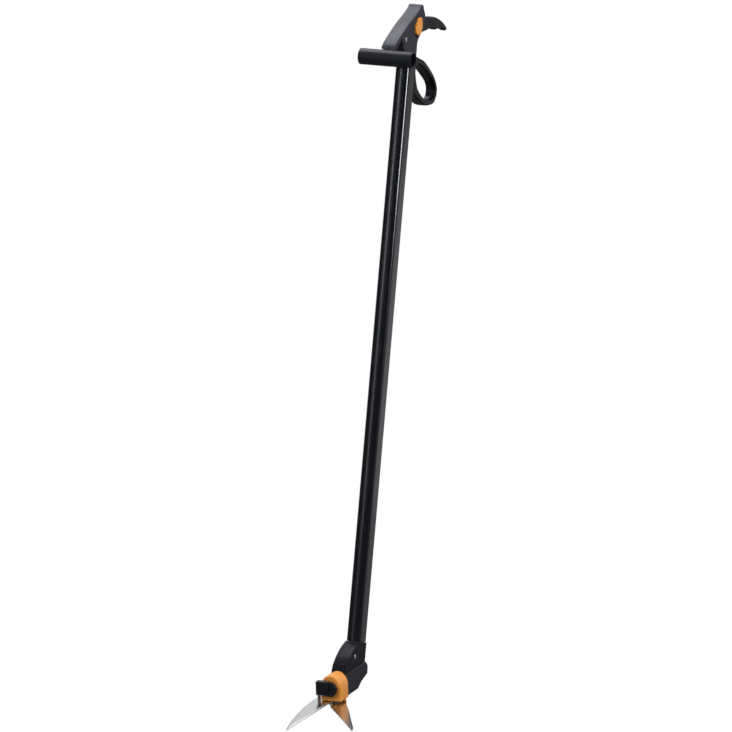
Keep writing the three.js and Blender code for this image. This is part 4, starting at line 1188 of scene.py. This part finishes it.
@dataclass
class Head:
    """The boot at the shaft's foot and the gear case under it, with the rivet and screws.

    The nose is in shares of the head's length and drop, and the back and the floor are in shares
    of its length and of the case's depth. The rivet's place is back and up from the shaft's foot.
    """

    lay: Layout
    edge: float = 1.6
    rivet: tuple[float, float] = (-27.7, -22.9)
    rivet_head: float = 3.6
    nose: Pairs = ((-0.26, -0.03), (-0.52, -0.21), (-0.8, -0.5), (-0.98, -0.76))
    back: Pairs = ((-0.376, 0.74), (-0.49, 0.45), (-0.51, 0.16), (-0.47, -0.27))
    floor: Pairs = ((-0.05, -0.6), (0.19, -0.97), (0.8, -1.0), (1.0, -1.0))
    deep: float = 19.6
    room: float = 7.5
    rod_way: float = 3.5
    crank_way: float = 2.1
    crank_wide: float = 19.5
    spigot: float = 7.9
    journal: float = 5.9
    journal_long: float = 2.1
    screw_in: float = 1.2
    screw_share: float = 0.55
    screw_deep: float = 4.0
    screw_reach: float = 1.7
    plug_root: float = 4.0
    rear_rise: float = 6.0
    rear_wall: float = 1.2
    crank_rise: float = 4.5
    crank_room: float = 10.0
    drive_way: float = 79.5
    drive_room: float = 4.3
    drive_back: float = 11.5

    def ahead(self, along: float, up: float) -> tuple[float, float]:
        """Back and up of a point given along the head's axis and up from it."""
        sine, cosine = math.sin(HEAD_TILT), math.cos(HEAD_TILT)
        return -along * cosine - up * sine, self.lay.head_height - along * sine + up * cosine

    def screw_places(self) -> list[tuple[float, float]]:
        """Side and along of the two screws that hold the case."""
        lay = self.lay
        side, along = lay.head_wide / 2 - lay.screw_head - self.screw_in, lay.head_front * self.screw_share
        return [(-side, along), (side, along)]

    def rivet_place(self) -> tuple[float, float]:
        """The rivet's place, back and up."""
        return self.rivet[0], self.rivet[1] - self.lay.top

    def socket(self) -> Piece:
        """The boot: its side view, rounded at the rims, with the works' room cut out.

        Returns:
            The boot's object.
        """
        lay, half, room = self.lay, self.lay.head_wide / 2, self.room
        line = np.asarray(self.nose) * (lay.head_front, lay.head_drop) + (0.0, -lay.top)
        seam = lay.seam + lay.fit / 2
        front = self.ahead(lay.head_front, seam)
        rear = self.ahead(-lay.rear / math.cos(HEAD_TILT) - lay.seam * math.sin(HEAD_TILT), seam)
        brim = [(lay.rear, -lay.top - lay.fit), (-lay.rear, -lay.top - lay.fit)]
        rest = [front, rear, (lay.rear, rear[1] + self.rear_rise)]
        outline = np.concatenate([brim, smooth_line(line, 40), rest])
        body = side_plate(outline, -half, half, self.edge)
        plug = lay.plug_piece(-lay.top - self.plug_root, -lay.top + lay.plug)
        made = carved(raw_object("head_boot", [body]), Carve.TOGETHER, [plug])
        crank_y, crank_z = lay.crank
        tools = [
            peg(self.rod_way, lay.plug + lay.head_drop, (0, lay.link_y, -lay.top - lay.head_drop / 2), UP),
            block((-room, crank_y - lay.crank_arms[0] - room, lay.head_height),
                  (room, lay.rear - self.rear_wall, crank_z + self.crank_rise + self.crank_room)),
            across(self.crank_way, self.crank_wide, lay.crank),
            across(lay.pin_way, lay.head_wide + 2 * lay.over, self.rivet_place()),
            *(peg(lay.screw_way, 2 * lay.seam, (side, -along, 0), UP).moved(lay.tilted)
              for side, along in self.screw_places()),
        ]
        return carved(made, Carve.AWAY, tools)

    def case(self) -> Piece:
        """The gear case with the spigot that the collar turns on.

        Returns:
            The case's object.
        """
        lay, deep, half, room = self.lay, self.deep, self.lay.head_wide / 2, self.room
        top = lay.seam - lay.fit / 2
        back, floor = (np.minimum(np.asarray(shares) * (-lay.head_front, deep), (np.inf, top))
                       for shares in (self.back, self.floor))
        outline = np.concatenate([[(-lay.head_front, top)], smooth_line(back, 30), floor])
        long = lay.spigot_end - lay.head_front
        end = long + self.journal_long
        stub = [(0, -lay.over), (self.spigot, -lay.over), (self.spigot, long), (self.journal, long),
                (self.journal, end), (0, end)]
        spigot = turned(stub).moved(aimed((0, -lay.head_front, 0), AHEAD))
        made = raw_object("gear_case_shell", [side_plate(outline, -half, half, self.edge)])
        made = carved(made, Carve.TOGETHER, [spigot])
        _, drive = lay.crank_arms
        start = drive * SWING / 2 + (lay.crank[0] + drive * math.sin(HEAD_TILT)) / math.cos(HEAD_TILT)
        play = self.drive_room
        tools = [peg(self.rod_way, self.drive_way, (0, lay.over, 0), AHEAD),
                 block((-room, start - lay.slide_travel - self.drive_back, -play),
                       (room, start + play, lay.seam + lay.over))]
        for side, along in self.screw_places():
            tools.append(peg(lay.screw_way, 3 * deep, (side, -along, -2 * deep), UP))
            tools.append(peg(lay.screw_seat, deep, (side, -along, self.screw_deep - 2 * deep), UP))
        made = lay.tilt(carved(made, Carve.AWAY, tools))
        return carved(made, Carve.AWAY, [across(self.crank_way, self.crank_wide, lay.crank)])

    def make(self) -> None:
        """Makes the boot, the case, the rivet and the case's screws."""
        lay, thick = self.lay, self.lay.screw_thick
        settled(self.socket(), "boot", "handle", "head_socket")
        settled(self.case(), "case", "handle", "gear_case")
        rivet = headed_pin("head_rivet_skin", lay.pin, self.rivet_head, lay.head_wide, self.rivet_place())
        settled(rivet, "bright", "handle", "head_rivet")
        seat, tip = self.screw_deep - self.deep - lay.fit, lay.seam * self.screw_reach
        profile = [(0, seat - thick), (lay.screw_head, seat - thick), (lay.screw_head, seat),
                   (lay.screw, seat), (lay.screw, tip), (0, tip)]
        for name, place in zip(("case_screw_left", "case_screw_right"), self.screw_places()):
            made = screw(f"{name}_cross", profile, lay.upright(*place), lay.screw_tight, seat - thick, 0.9)
            settled(made, "dark", "handle", name)


@dataclass
class Cutter:
    """The turning collar with its blades, and the slider that swings the upper one.

    The blades' outlines are in shares of their reach, to the side and along, and the marks say
    which of their points bound the cutting side. Each lip is a share of the grinding's width and
    one of the thickness. The grinding starts over the heel's length, ends over the point's and
    fades beside the cutting line.
    """

    lay: Layout
    half: float = 16.0
    top: float = 19.5
    foot: float = 19.6
    edge: float = 2.4
    corner: float = 3.0
    bore: float = 8.2
    retainer_bore: float = 10.2
    thick: float = 2.0
    bolt_way: float = 3.8
    hub_radius: float = 11.4
    hub_long: float = 6.0
    tab_half: float = 8.75
    tab_left: float = 19.5
    tab_rise: float = 3.4
    post_radius: float = 2.5
    post_top: float = 0.875
    fork_play: float = 0.7
    fork_wall: float = 2.2
    fork_front: float = 3.0
    fork_root: float = 1.2
    hub_rim: float = 1.3
    tab_long: float = 9.5
    tab_edge: float = 1.2
    arm_edge: float = 0.5
    arm_top: float = 0.2
    rod_bore: float = 3.3
    rod_deep: float = 3.6
    overlap: float = 1.0
    screw_boss: float = 3.0
    screw_bore_long: float = 10.0
    bolt: float = 3.5
    bolt_head: float = 7.0
    bolt_thick: float = 3.0
    bolt_up: float = 8.0
    bolt_cross: float = 3.4
    bolt_bore: float = 3.6
    bolt_roof: float = 1.2
    post_hole: float = 2.05
    post_waist: float = 2.0
    screw_hole: float = 2.1
    rim: float = 0.3
    grind: float = 3.1
    grind_fade: float = 3.2
    heel: float = 8.0
    point: float = 14.0
    reach: float = 165.0
    post_share: float = 0.149
    screw_side: float = 0.0636
    screw_back: float = 0.0642
    upper: Pairs = (
        (0.055, -0.025), (0.04, 0.04), (-0.006, 0.085), (-0.01, 0.4), (-0.024, 1), (-0.055, 0.9),
        (-0.09, 0.76), (-0.127, 0.57), (-0.158, 0.36), (-0.176, 0.16), (-0.178, 0.03),
        (-0.165, -0.03), (-0.12, -0.055), (-0.05, -0.062), (0, -0.062), (0.04, -0.05),
    )
    lower: Pairs = (
        (-0.06, -0.03), (-0.05, 0.05), (0.012, 0.12), (0.039, 0.18), (0.295, 0.51), (0.53, 0.817),
        (0.505, 0.73), (0.404, 0.543), (0.237, 0.224), (0.145, 0.07), (0.09, -0.055),
        (0.065, -0.088), (0.03, -0.088), (-0.035, -0.075),
    )
    upper_ground: tuple[int, int] = (2, 4)
    lower_ground: tuple[int, int] = (3, 5)
    lips: Pairs = ((0.25, 0.0), (0.0, 0.18), (0.0, 0.45), (1.0, 1.0), (1.06, 1.0))

    @property
    def rear(self) -> float:
        """Where the collar's rear face is along the axis."""
        return self.lay.head_front + self.lay.fit

    @property
    def upper_top(self) -> float:
        """Height of the upper blade's upper face."""
        return -self.foot - self.lay.fit

    @property
    def lower_top(self) -> float:
        """Height of the lower blade's upper face."""
        return self.upper_top - self.thick - self.lay.fit

    @property
    def hub(self) -> float:
        """Where the slider's rear face is along the axis."""
        return self.rear + self.lay.collar_long + self.lay.fit

    @property
    def post(self) -> float:
        """How far left of the axis the blade's post is."""
        return self.post_share * self.reach

    @property
    def screw_place(self) -> tuple[float, float]:
        """Side and along of the screw that holds the lower blade."""
        return self.screw_side * self.reach, self.lay.blade_pivot - self.screw_back * self.reach

    def collar(self) -> Piece:
        """The collar: an arched section carried along the axis, rounded at both faces.

        Returns:
            The collar's object.
        """
        lay, corner, pivot = self.lay, self.corner, self.lay.blade_pivot
        arc = np.linspace(0, math.pi, 70)
        arch = np.column_stack([self.half * np.cos(arc), self.top * np.sin(arc)])
        left = np.array([(-self.half, corner - self.foot), (-self.half, -self.foot),
                         (corner - self.half, -self.foot)])
        bend = bent(*left, np.linspace(0, 1, 12)[:, None])
        section = np.concatenate([arch, bend, bend[::-1] * (-1, 1)])
        body = plate(section, self.rear, self.rear + lay.collar_long, self.edge, 8).moved(ALONG)
        side, along = self.screw_place
        post = peg(self.screw_boss, 2 * self.thick, (side, -along, self.lower_top + lay.fit), UP)
        made = carved(raw_object("collar_shell", [body]), Carve.TOGETHER, [post])
        deep = self.foot - self.bore - self.bolt_roof
        tools = [peg(self.bore, lay.collar_long + 2 * lay.over, (0, lay.over - self.rear, 0), AHEAD),
                 peg(self.retainer_bore, lay.collar_long, (0, -lay.spigot_end, 0), AHEAD),
                 peg(self.bolt_bore, deep, (0, -pivot, self.upper_top - lay.over), UP),
                 peg(lay.screw_tight, self.screw_bore_long, (side, -along, self.lower_top - lay.over), UP)]
        return lay.tilt(carved(made, Carve.AWAY, tools))

    def slider(self) -> Piece:
        """The slider: a turned hub, a tab to its left and a fork for the blade's post.

        Returns:
            The slider's object.
        """
        lay, hub, tall, pivot = self.lay, self.hub, self.tab_half, -self.lay.blade_pivot
        wide, long = self.hub_radius, self.hub_long
        boss = rounded([(0, 0), (wide, 0), (wide, long), (0, long)], self.hub_rim)
        made = raw_object("slider_body", [turned(boss, 80).moved(aimed((0, -hub, 0), AHEAD))])
        inside, low = -self.half - lay.slide, tall * self.arm_top
        tip, gap = -self.post - self.post_radius, self.post_radius + self.fork_play
        left, top, over = -self.tab_left, tall + self.tab_rise, self.overlap
        rear, front = pivot - gap - self.fork_wall, pivot + gap + self.fork_front
        parts = [self.soft_block((left, -hub - self.tab_long, -tall), (0, -hub, top), self.tab_edge),
                 self.soft_block((left, -hub - over, -tall), (inside, pivot, low), self.arm_edge),
                 self.soft_block((tip, rear, -tall), (inside, front, low), self.arm_edge)]
        made = carved(made, Carve.TOGETHER, parts)
        slot = (tip - lay.over, pivot - gap, -tall - lay.over), (inside - self.fork_root, pivot + gap, tall)
        tools = [block(*slot), peg(self.rod_bore, self.rod_deep + lay.fit + over, (0, over - hub, 0), AHEAD)]
        return lay.tilt(carved(made, Carve.AWAY, tools))

    def soft_block(self, low: Place, high: Place, edge: float) -> Shell:
        """A block whose upright corners and rims are rounded.

        Args:
            low: its lowest corner.
            high: its highest corner.
            edge: the radius of its corners.

        Returns:
            The closed shell.
        """
        corners = np.array([(low[0], low[1]), (high[0], low[1]), (high[0], high[1]), (low[0], high[1])])
        way = np.sign(corners.mean(axis=0) - corners)
        angle = np.linspace(0, math.pi / 2, 6)[None] + (math.pi + np.arange(4) * math.pi / 2)[:, None]
        arcs = np.stack([np.cos(angle), np.sin(angle)], axis=-1) * edge
        outline = ((corners + way * edge)[:, None] + arcs).reshape(-1, 2)
        return plate(outline, low[2], high[2], edge * 0.9, 5)

    def placed(self, shares: Pairs) -> np.ndarray:
        """A blade's outline, x to the side and y back, from shares of the reach."""
        return np.asarray(shares) * (self.reach, -self.reach) + (0.0, -self.lay.blade_pivot)

    def cutting_line(self, shares: Pairs, ground: tuple[int, int],
                     points: np.ndarray) -> tuple[np.ndarray, np.ndarray, float]:
        """Where points lie against a blade's cutting line.

        Args:
            shares: the blade's outline in shares of the reach.
            ground: the first and last of the outline's points that bound the cutting side.
            points: the points, x and y.

        Returns:
            How far each lies along the line and beside it, and the line's length.
        """
        start, end = self.placed(shares)[list(ground)]
        run, length = end - start, float(np.linalg.norm(end - start))
        away = points - start
        return away @ run / length, np.abs(away @ np.array([-run[1], run[0]]) / length), length

    def blade(self, name: str, shares: Pairs, top: float, ground: tuple[int, int], hollow: int,
              holes: Sequence[tuple[float, float, float]]) -> Piece:
        """A blade: a flat plate whose cutting side is ground back from its edge.

        The outline's points between two marks, and those alone, move in by the width of the
        grinding on one face and keep a thin edge on the other.

        Args:
            name: the piece's name.
            shares: the outline in shares of the reach, side and along.
            top: the height of its upper face.
            ground: the first and last of the outline's points that bound the cutting side.
            hollow: 1 where the upper face is ground, -1 where the lower one is.
            holes: side, along and radius of each hole.

        Returns:
            The blade's object.
        """
        flat, thick = self.placed(shares), self.thick
        count = len(flat)
        along = np.linspace(0, count, count * 12, endpoint=False)
        index = along.astype(int) % count
        part = (along - along.astype(int))[:, None]
        outline = flat[index] * (1 - part) + flat[(index + 1) % count] * part
        if twice_area(flat) < 0:
            outline = outline[::-1].copy()
        reach, side, length = self.cutting_line(shares, ground, outline)
        near, past, left = 1 - side / self.grind_fade, reach / self.heel, (length - reach) / self.point
        on_line = np.clip(near, 0, 1) * np.clip(past, 0, 1) * np.clip(left, 0, 1)
        move, grind, just = inward(outline), (self.rim + self.grind * on_line)[:, None], 0.05
        rings = [outline + move * (share if share <= self.rim else grind * share + just)
                 for share, _ in self.lips]
        levels = np.array([height for _, height in self.lips]) * thick
        shell = stacked(np.stack(rings), top - thick + levels if hollow > 0 else top - levels)
        over = self.lay.over
        ways = [peg(radius, thick + 2 * over, (x, -y, top - thick - over), UP) for x, y, radius in holes]
        return self.lay.tilt(carved(raw_object(name, [shell]), Carve.AWAY, ways))

    def sharpened(self, made: Piece, shares: Pairs, ground: tuple[int, int]) -> None:
        """Gives the bevel faces along a blade's cutting line a brighter, rougher steel: partly the ground
        edge's own finish, partly a painted highlight.

        Args:
            made: the blade, already in its place.
            shares: its outline in shares of the reach.
            ground: the first and last of the outline's points that bound the cutting side.
        """
        mesh, back = made.data, np.array(self.lay.tilted.inverted())
        centre, normal = np.empty(len(mesh.polygons) * 3), np.empty(len(mesh.polygons) * 3)
        mesh.polygons.foreach_get("center", centre)
        mesh.polygons.foreach_get("normal", normal)
        centre = centre.reshape(-1, 3) / MM @ back[:3, :3].T + back[:3, 3]
        upright = normal.reshape(-1, 3) @ back[2, :3]
        along, beside, length = self.cutting_line(shares, ground, centre[:, :2])
        short, wide, level = 3.0, 4.5, 0.99
        cut = (along > short) & (along < length - short) & (beside < wide) & (np.abs(upright) < level)
        # painted highlight: the bevel faces get the brighter steel that stands in for the edge's bright
        # reflection
        mesh.materials.append(MATERIALS["ground"])
        mesh.polygons.foreach_set("material_index", cut.astype(np.int32))
        mesh.update()

    def under_screw(self, name: str, place: tuple[float, float], size: tuple[float, float, float, float],
                    cross: float) -> Piece:
        """A screw that comes up from under the blades.

        Args:
            name: the piece's name.
            place: its side and along.
            size: its radius, its head's radius and thickness, and how far it reaches up.
            cross: how far the cross in its head reaches.

        Returns:
            The screw's object.
        """
        radius, head, thick, reach = size
        seat = self.upper_top - 2 * self.thick - 2 * self.lay.fit
        profile = [(0, seat - thick), (head * 0.75, seat - thick), (head, seat - thick / 2), (head, seat),
                   (radius, seat), (radius, seat + reach), (0, seat + reach)]
        return screw(name, profile, self.lay.upright(*place), cross, seat - thick, 1.0)

    def make(self) -> None:
        """Makes the collar, the slider, the blades and what holds them."""
        lay, thick, top = self.lay, self.thick, self.upper_top
        pivot, place = (0.0, lay.blade_pivot), self.screw_place
        settled(self.collar(), "orange", "head", "collar", angle=40)
        settled(self.slider(), "satin", "slider", "slider")
        post_hole, screw_hole = (-self.post, pivot[1], self.post_hole), (*place, self.screw_hole)
        upper = "upper_blade", "blade", self.upper, top, self.upper_ground, 1, post_hole
        lower = "lower_blade", "head", self.lower, self.lower_top, self.lower_ground, -1, screw_hole
        for name, body, shares, height, ground, hollow, hole in (upper, lower):
            holes = [(*pivot, self.bolt_way), hole]
            made = self.blade(f"{name}_ground", shares, height, ground, hollow, holes)
            settled(made, "blade", body, name, angle=14)
            # the bevel's brighter steel is partly a painted highlight
            self.sharpened(made, shares, ground)
        waist, neck = self.post_waist, top + lay.fit
        profile = rounded([(0, top - thick), (waist, top - thick), (waist, neck), (self.post_radius, neck),
                           (self.post_radius, self.post_top), (0, self.post_top)], self.rim)
        post = raw_object("blade_post_turned", [turned(profile).moved(lay.upright(-self.post, pivot[1]))])
        settled(post, "bright", "blade", "blade_post")
        size = (self.bolt, self.bolt_head, self.bolt_thick, 2 * thick + self.bolt_up)
        bolt = self.under_screw("blade_bolt_cross", pivot, size, self.bolt_cross)
        settled(bolt, "bright", "head", "blade_bolt")
        size = (lay.screw, lay.screw_head, lay.screw_thick, 2 * thick + 2 * lay.over)
        small = self.under_screw("blade_screw_cross", place, size, lay.screw_tight)
        settled(small, "dark", "head", "blade_screw")


@dataclass
class ReturnSpring:
    """The return spring round the link rod, which shortens by its travel with the trigger."""

    radius: float = 4.65
    wire: float = 0.55
    turns: int = 9
    steps: int = 20
    sides: int = 8
    travel: float = 5.3

    def coil(self, low: Vector, high: Vector) -> Shell:
        """The wire: a ring of points carried round a helix.

        Args:
            low: the lowest corner of the room that it has, in millimetres.
            high: the highest corner.

        Returns:
            The closed shell.
        """
        count = self.turns * self.steps + 1
        turn = np.linspace(0, 2 * math.pi * self.turns, count)[:, None]
        ring = np.linspace(0, 2 * math.pi, self.sides, endpoint=False)[None]
        rise = np.linspace(low.z + self.wire, high.z - self.wire, count)[:, None]
        reach, middle = self.radius + self.wire * np.cos(ring), (low + high) / 2
        return lofted(np.stack([middle.x + reach * np.cos(turn), middle.y + reach * np.sin(turn),
                                rise + self.wire * np.sin(ring)], axis=-1))

    def make(self) -> None:
        """Makes the spring at rest in the imported spring's room; its foot rising with the rod while its top
        stays is not done here.
        """
        low, high = (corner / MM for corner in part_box("return_spring"))
        made = raw_object("return_spring_coil", [self.coil(low, high)])
        settled(made, "drawn", "handle", "return_spring", angle=50)
        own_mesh(made)


@dataclass
class Works:
    """The parts inside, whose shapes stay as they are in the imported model."""

    drawn: tuple[str, ...] = ("link_rod", "drive_rod", "bell_crank")
    bright: tuple[str, ...] = ("link_pin_upper", "link_pin_lower", "crank_pin", "drive_pin", "spring_ring")
    dark: tuple[str, ...] = ("collar_retainer",)
    satin: tuple[str, ...] = ("spring_stop", "crossbar_screw")

    def make(self) -> None:
        """Gives each of them its finish."""
        for finish, nodes in vars(self).items():
            for node in nodes:
                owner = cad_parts[node]
                if not owner.material_slots:
                    owner.data.materials.append(MATERIALS[finish])
                for place in owner.material_slots:
                    place.material = MATERIALS[finish]
                LOG.info("%s keeps its shape, finish %s", node, finish)


class Seen(Enum):
    """What a lamp shows in."""

    DIFFUSE = "diffuse light"
    GLOSS = "reflections"
    BOTH = "diffuse light and reflections"


@dataclass(frozen=True)
class Lamp:
    """A soft rectangular lamp: its place, the point it faces and its size in metres, and its watts."""

    name: str
    place: tuple[float, float, float]
    aim: tuple[float, float, float]
    size: tuple[float, float]
    power: float
    seen: Seen

    def hang(self) -> None:
        """Puts the lamp into the scene."""
        light = bpy.data.lights.new(self.name, "AREA")
        light.shape, light.energy = "RECTANGLE", self.power
        light.size, light.size_y = self.size
        made = linked(self.name, light)
        made.location = self.place
        made.rotation_euler = (Vector(self.aim) - Vector(self.place)).to_track_quat("-Z", "Y").to_euler()
        made.visible_diffuse = self.seen is not Seen.GLOSS
        made.visible_glossy = self.seen is not Seen.DIFFUSE


def level_line(name: str, low: float, high: float, power: float) -> Lamp:
    """One band of the tall narrow lamp whose reflection is the dim line on the shaft's front."""
    middle = (low + high) / 2
    return Lamp(name, (-0.92, -2.0, middle), (0, 0, middle), (0.07, high - low), power, Seen.GLOSS)


LAMPS = (
    Lamp("overhead_box", (-0.7, 0.15, 2.2), (0, 0, 0.1), (1.2, 1.2), 17.5, Seen.BOTH),
    Lamp("front_fill", (-0.9, -2.1, 0.5), (0, 0, 0), (1.2, 1.2), 17.0, Seen.DIFFUSE),
    Lamp("right_fill", (2.0, -0.7, 0.6), (0, 0, 0), (1.2, 1.2), 24.0, Seen.DIFFUSE),
    level_line("front_line_low", -0.7, -0.26, 0.12),
    level_line("front_line_mid", -0.26, 0.1, 0.22),
    level_line("front_line_top", 0.1, 1.1, 1.15),
    Lamp("corner_line", (1.46, -0.65, 0.4), (0, 0, 0.4), (0.6, 0.36), 12.5, Seen.GLOSS),
    Lamp("side_card", (1.2, 2.75, 0.02), (0, 0, 0.02), (0.9, 0.52), 0.28, Seen.GLOSS),
    Lamp("edge_line", (1.5, -1.25, -0.75), (0, -0.1, -0.5), (0.7, 0.4), 5.0, Seen.GLOSS),
)


@dataclass
class Studio:
    """A pale floor, plain soft light and the photograph's camera, with lengths in metres."""

    look: tuple[float, float, float] = (-0.0182, -0.0079, -0.0244)
    across: float = 1.0687
    lens: float = 1500.0
    sensor: float = 36.0
    floor: float = -0.5645
    floor_radius: float = 7.0
    room_light: float = 0.55

    def white_world(self) -> None:
        """A plain world: even for light, white to the camera and a graded room in reflections."""
        world = bpy.data.worlds.new("plain_room")
        world.use_nodes = True
        bpy.context.scene.world = world
        tree = world.node_tree
        path = node_of(tree, "LightPath", {}).outputs
        place = node_of(tree, "TexCoord", {}).outputs["Generated"]
        parts = node_of(tree, "SeparateXYZ", {"Vector": place}).outputs
        room = ramp(tree, parts["Y"], -0.75, 0.6, 0.02, 0.27)
        sky = ramp(tree, parts["Z"], 0.08, 0.6, 0.0, 0.95)
        level = sum_of(tree, "ADD", room, sum_of(tree, "MULTIPLY", sky, sum_of(tree, "ADD", room, 0.35)))
        glossy = sum_of(tree, "MULTIPLY", path["Is Glossy Ray"], level)
        seen = sum_of(tree, "MAXIMUM", path["Is Camera Ray"], path["Is Transmission Ray"])
        other = sum_of(tree, "SUBTRACT", 1.0, sum_of(tree, "MAXIMUM", seen, path["Is Glossy Ray"]))
        strength = sum_of(tree, "ADD", sum_of(tree, "MAXIMUM", seen, glossy),
                          sum_of(tree, "MULTIPLY", other, self.room_light))
        feed(tree, tree.nodes["Background"], {"Strength": strength, "Color": (1.0, 1.0, 1.0, 1.0)})

    def ground(self) -> None:
        """A round pale floor, white to the camera but for the object's shadow."""
        angle = np.linspace(0, 2 * math.pi, 96, endpoint=False)
        ring = np.column_stack([np.cos(angle) * self.floor_radius, np.sin(angle) * self.floor_radius,
                                np.full(96, self.floor)])
        mesh = bpy.data.meshes.new("pale_floor")
        mesh.from_pydata(ring, [], [list(range(96))])
        made = linked("pale_floor", mesh)
        paint = bpy.data.materials.new("pale_floor_paint")
        paint.use_nodes = True
        tree = paint.node_tree
        shader = tree.nodes["Principled BSDF"]
        feed(tree, shader, {"Base Color": (0.1, 0.1, 0.1, 1.0), "Roughness": 0.9})
        glow = node_of(tree, "Emission", {"Strength": 1.1}).outputs["Emission"]
        camera = node_of(tree, "LightPath", {}).outputs["Is Camera Ray"]
        share = sum_of(tree, "MULTIPLY", camera, 0.93)
        mix = node_of(tree, "MixShader", {"Fac": share, 1: shader.outputs["BSDF"], 2: glow})
        feed(tree, tree.nodes["Material Output"], {"Surface": mix.outputs["Shader"]})
        made.data.materials.append(paint)

    def camera(self) -> None:
        """The camera: level, a little over twenty degrees to the right of the front, rolled."""
        data = bpy.data.cameras.new("photo_camera")
        data.lens, data.sensor_width = self.lens, self.sensor
        made = linked("photo_camera", data)
        back, side = Vector((0.399, -0.917, 0.0)).normalized(), Vector((0.917, 0.399, 0.0)).normalized()
        up, level, roll = Vector((0, 0, 1)), 0.9963, 0.0856
        right, above = level * side + roll * up, level * up - roll * side
        turn = Matrix((right.normalized(), above.normalized(), back)).transposed()
        distance = self.across / data.sensor_width * self.lens
        made.matrix_world = Matrix.Translation(Vector(self.look) + back * distance) @ turn.to_4x4()
        data.clip_start, data.clip_end = 1.0, 200.0
        bpy.context.scene.camera = made

    def make(self) -> None:
        """Sets the scene."""
        bpy.context.scene.view_settings.view_transform = "Standard"
        self.white_world()
        self.ground()
        for lamp in LAMPS:
            lamp.hang()
        self.camera()


def main() -> None:
    """Builds the finishes, the sub-assemblies in order and the studio."""
    logging.basicConfig(level=logging.INFO, format="%(name)s: %(message)s", stream=sys.stdout)
    PATTERNS.update({make.__name__: make() for make in (moulded_grain, handling_marks, ground_lines)})
    MATERIALS.update({name: finish.build() for name, finish in FINISHES.items()})
    lay = Layout()
    on_layout = (kind(lay) for kind in (Shaft, Grip, Trigger, HandLoop, Head, Cutter))
    for part in (*on_layout, ReturnSpring(), Works(), Studio()):
        LOG.info("making %s", type(part).__name__)
        part.make()


if __name__ == "__main__":
    main()
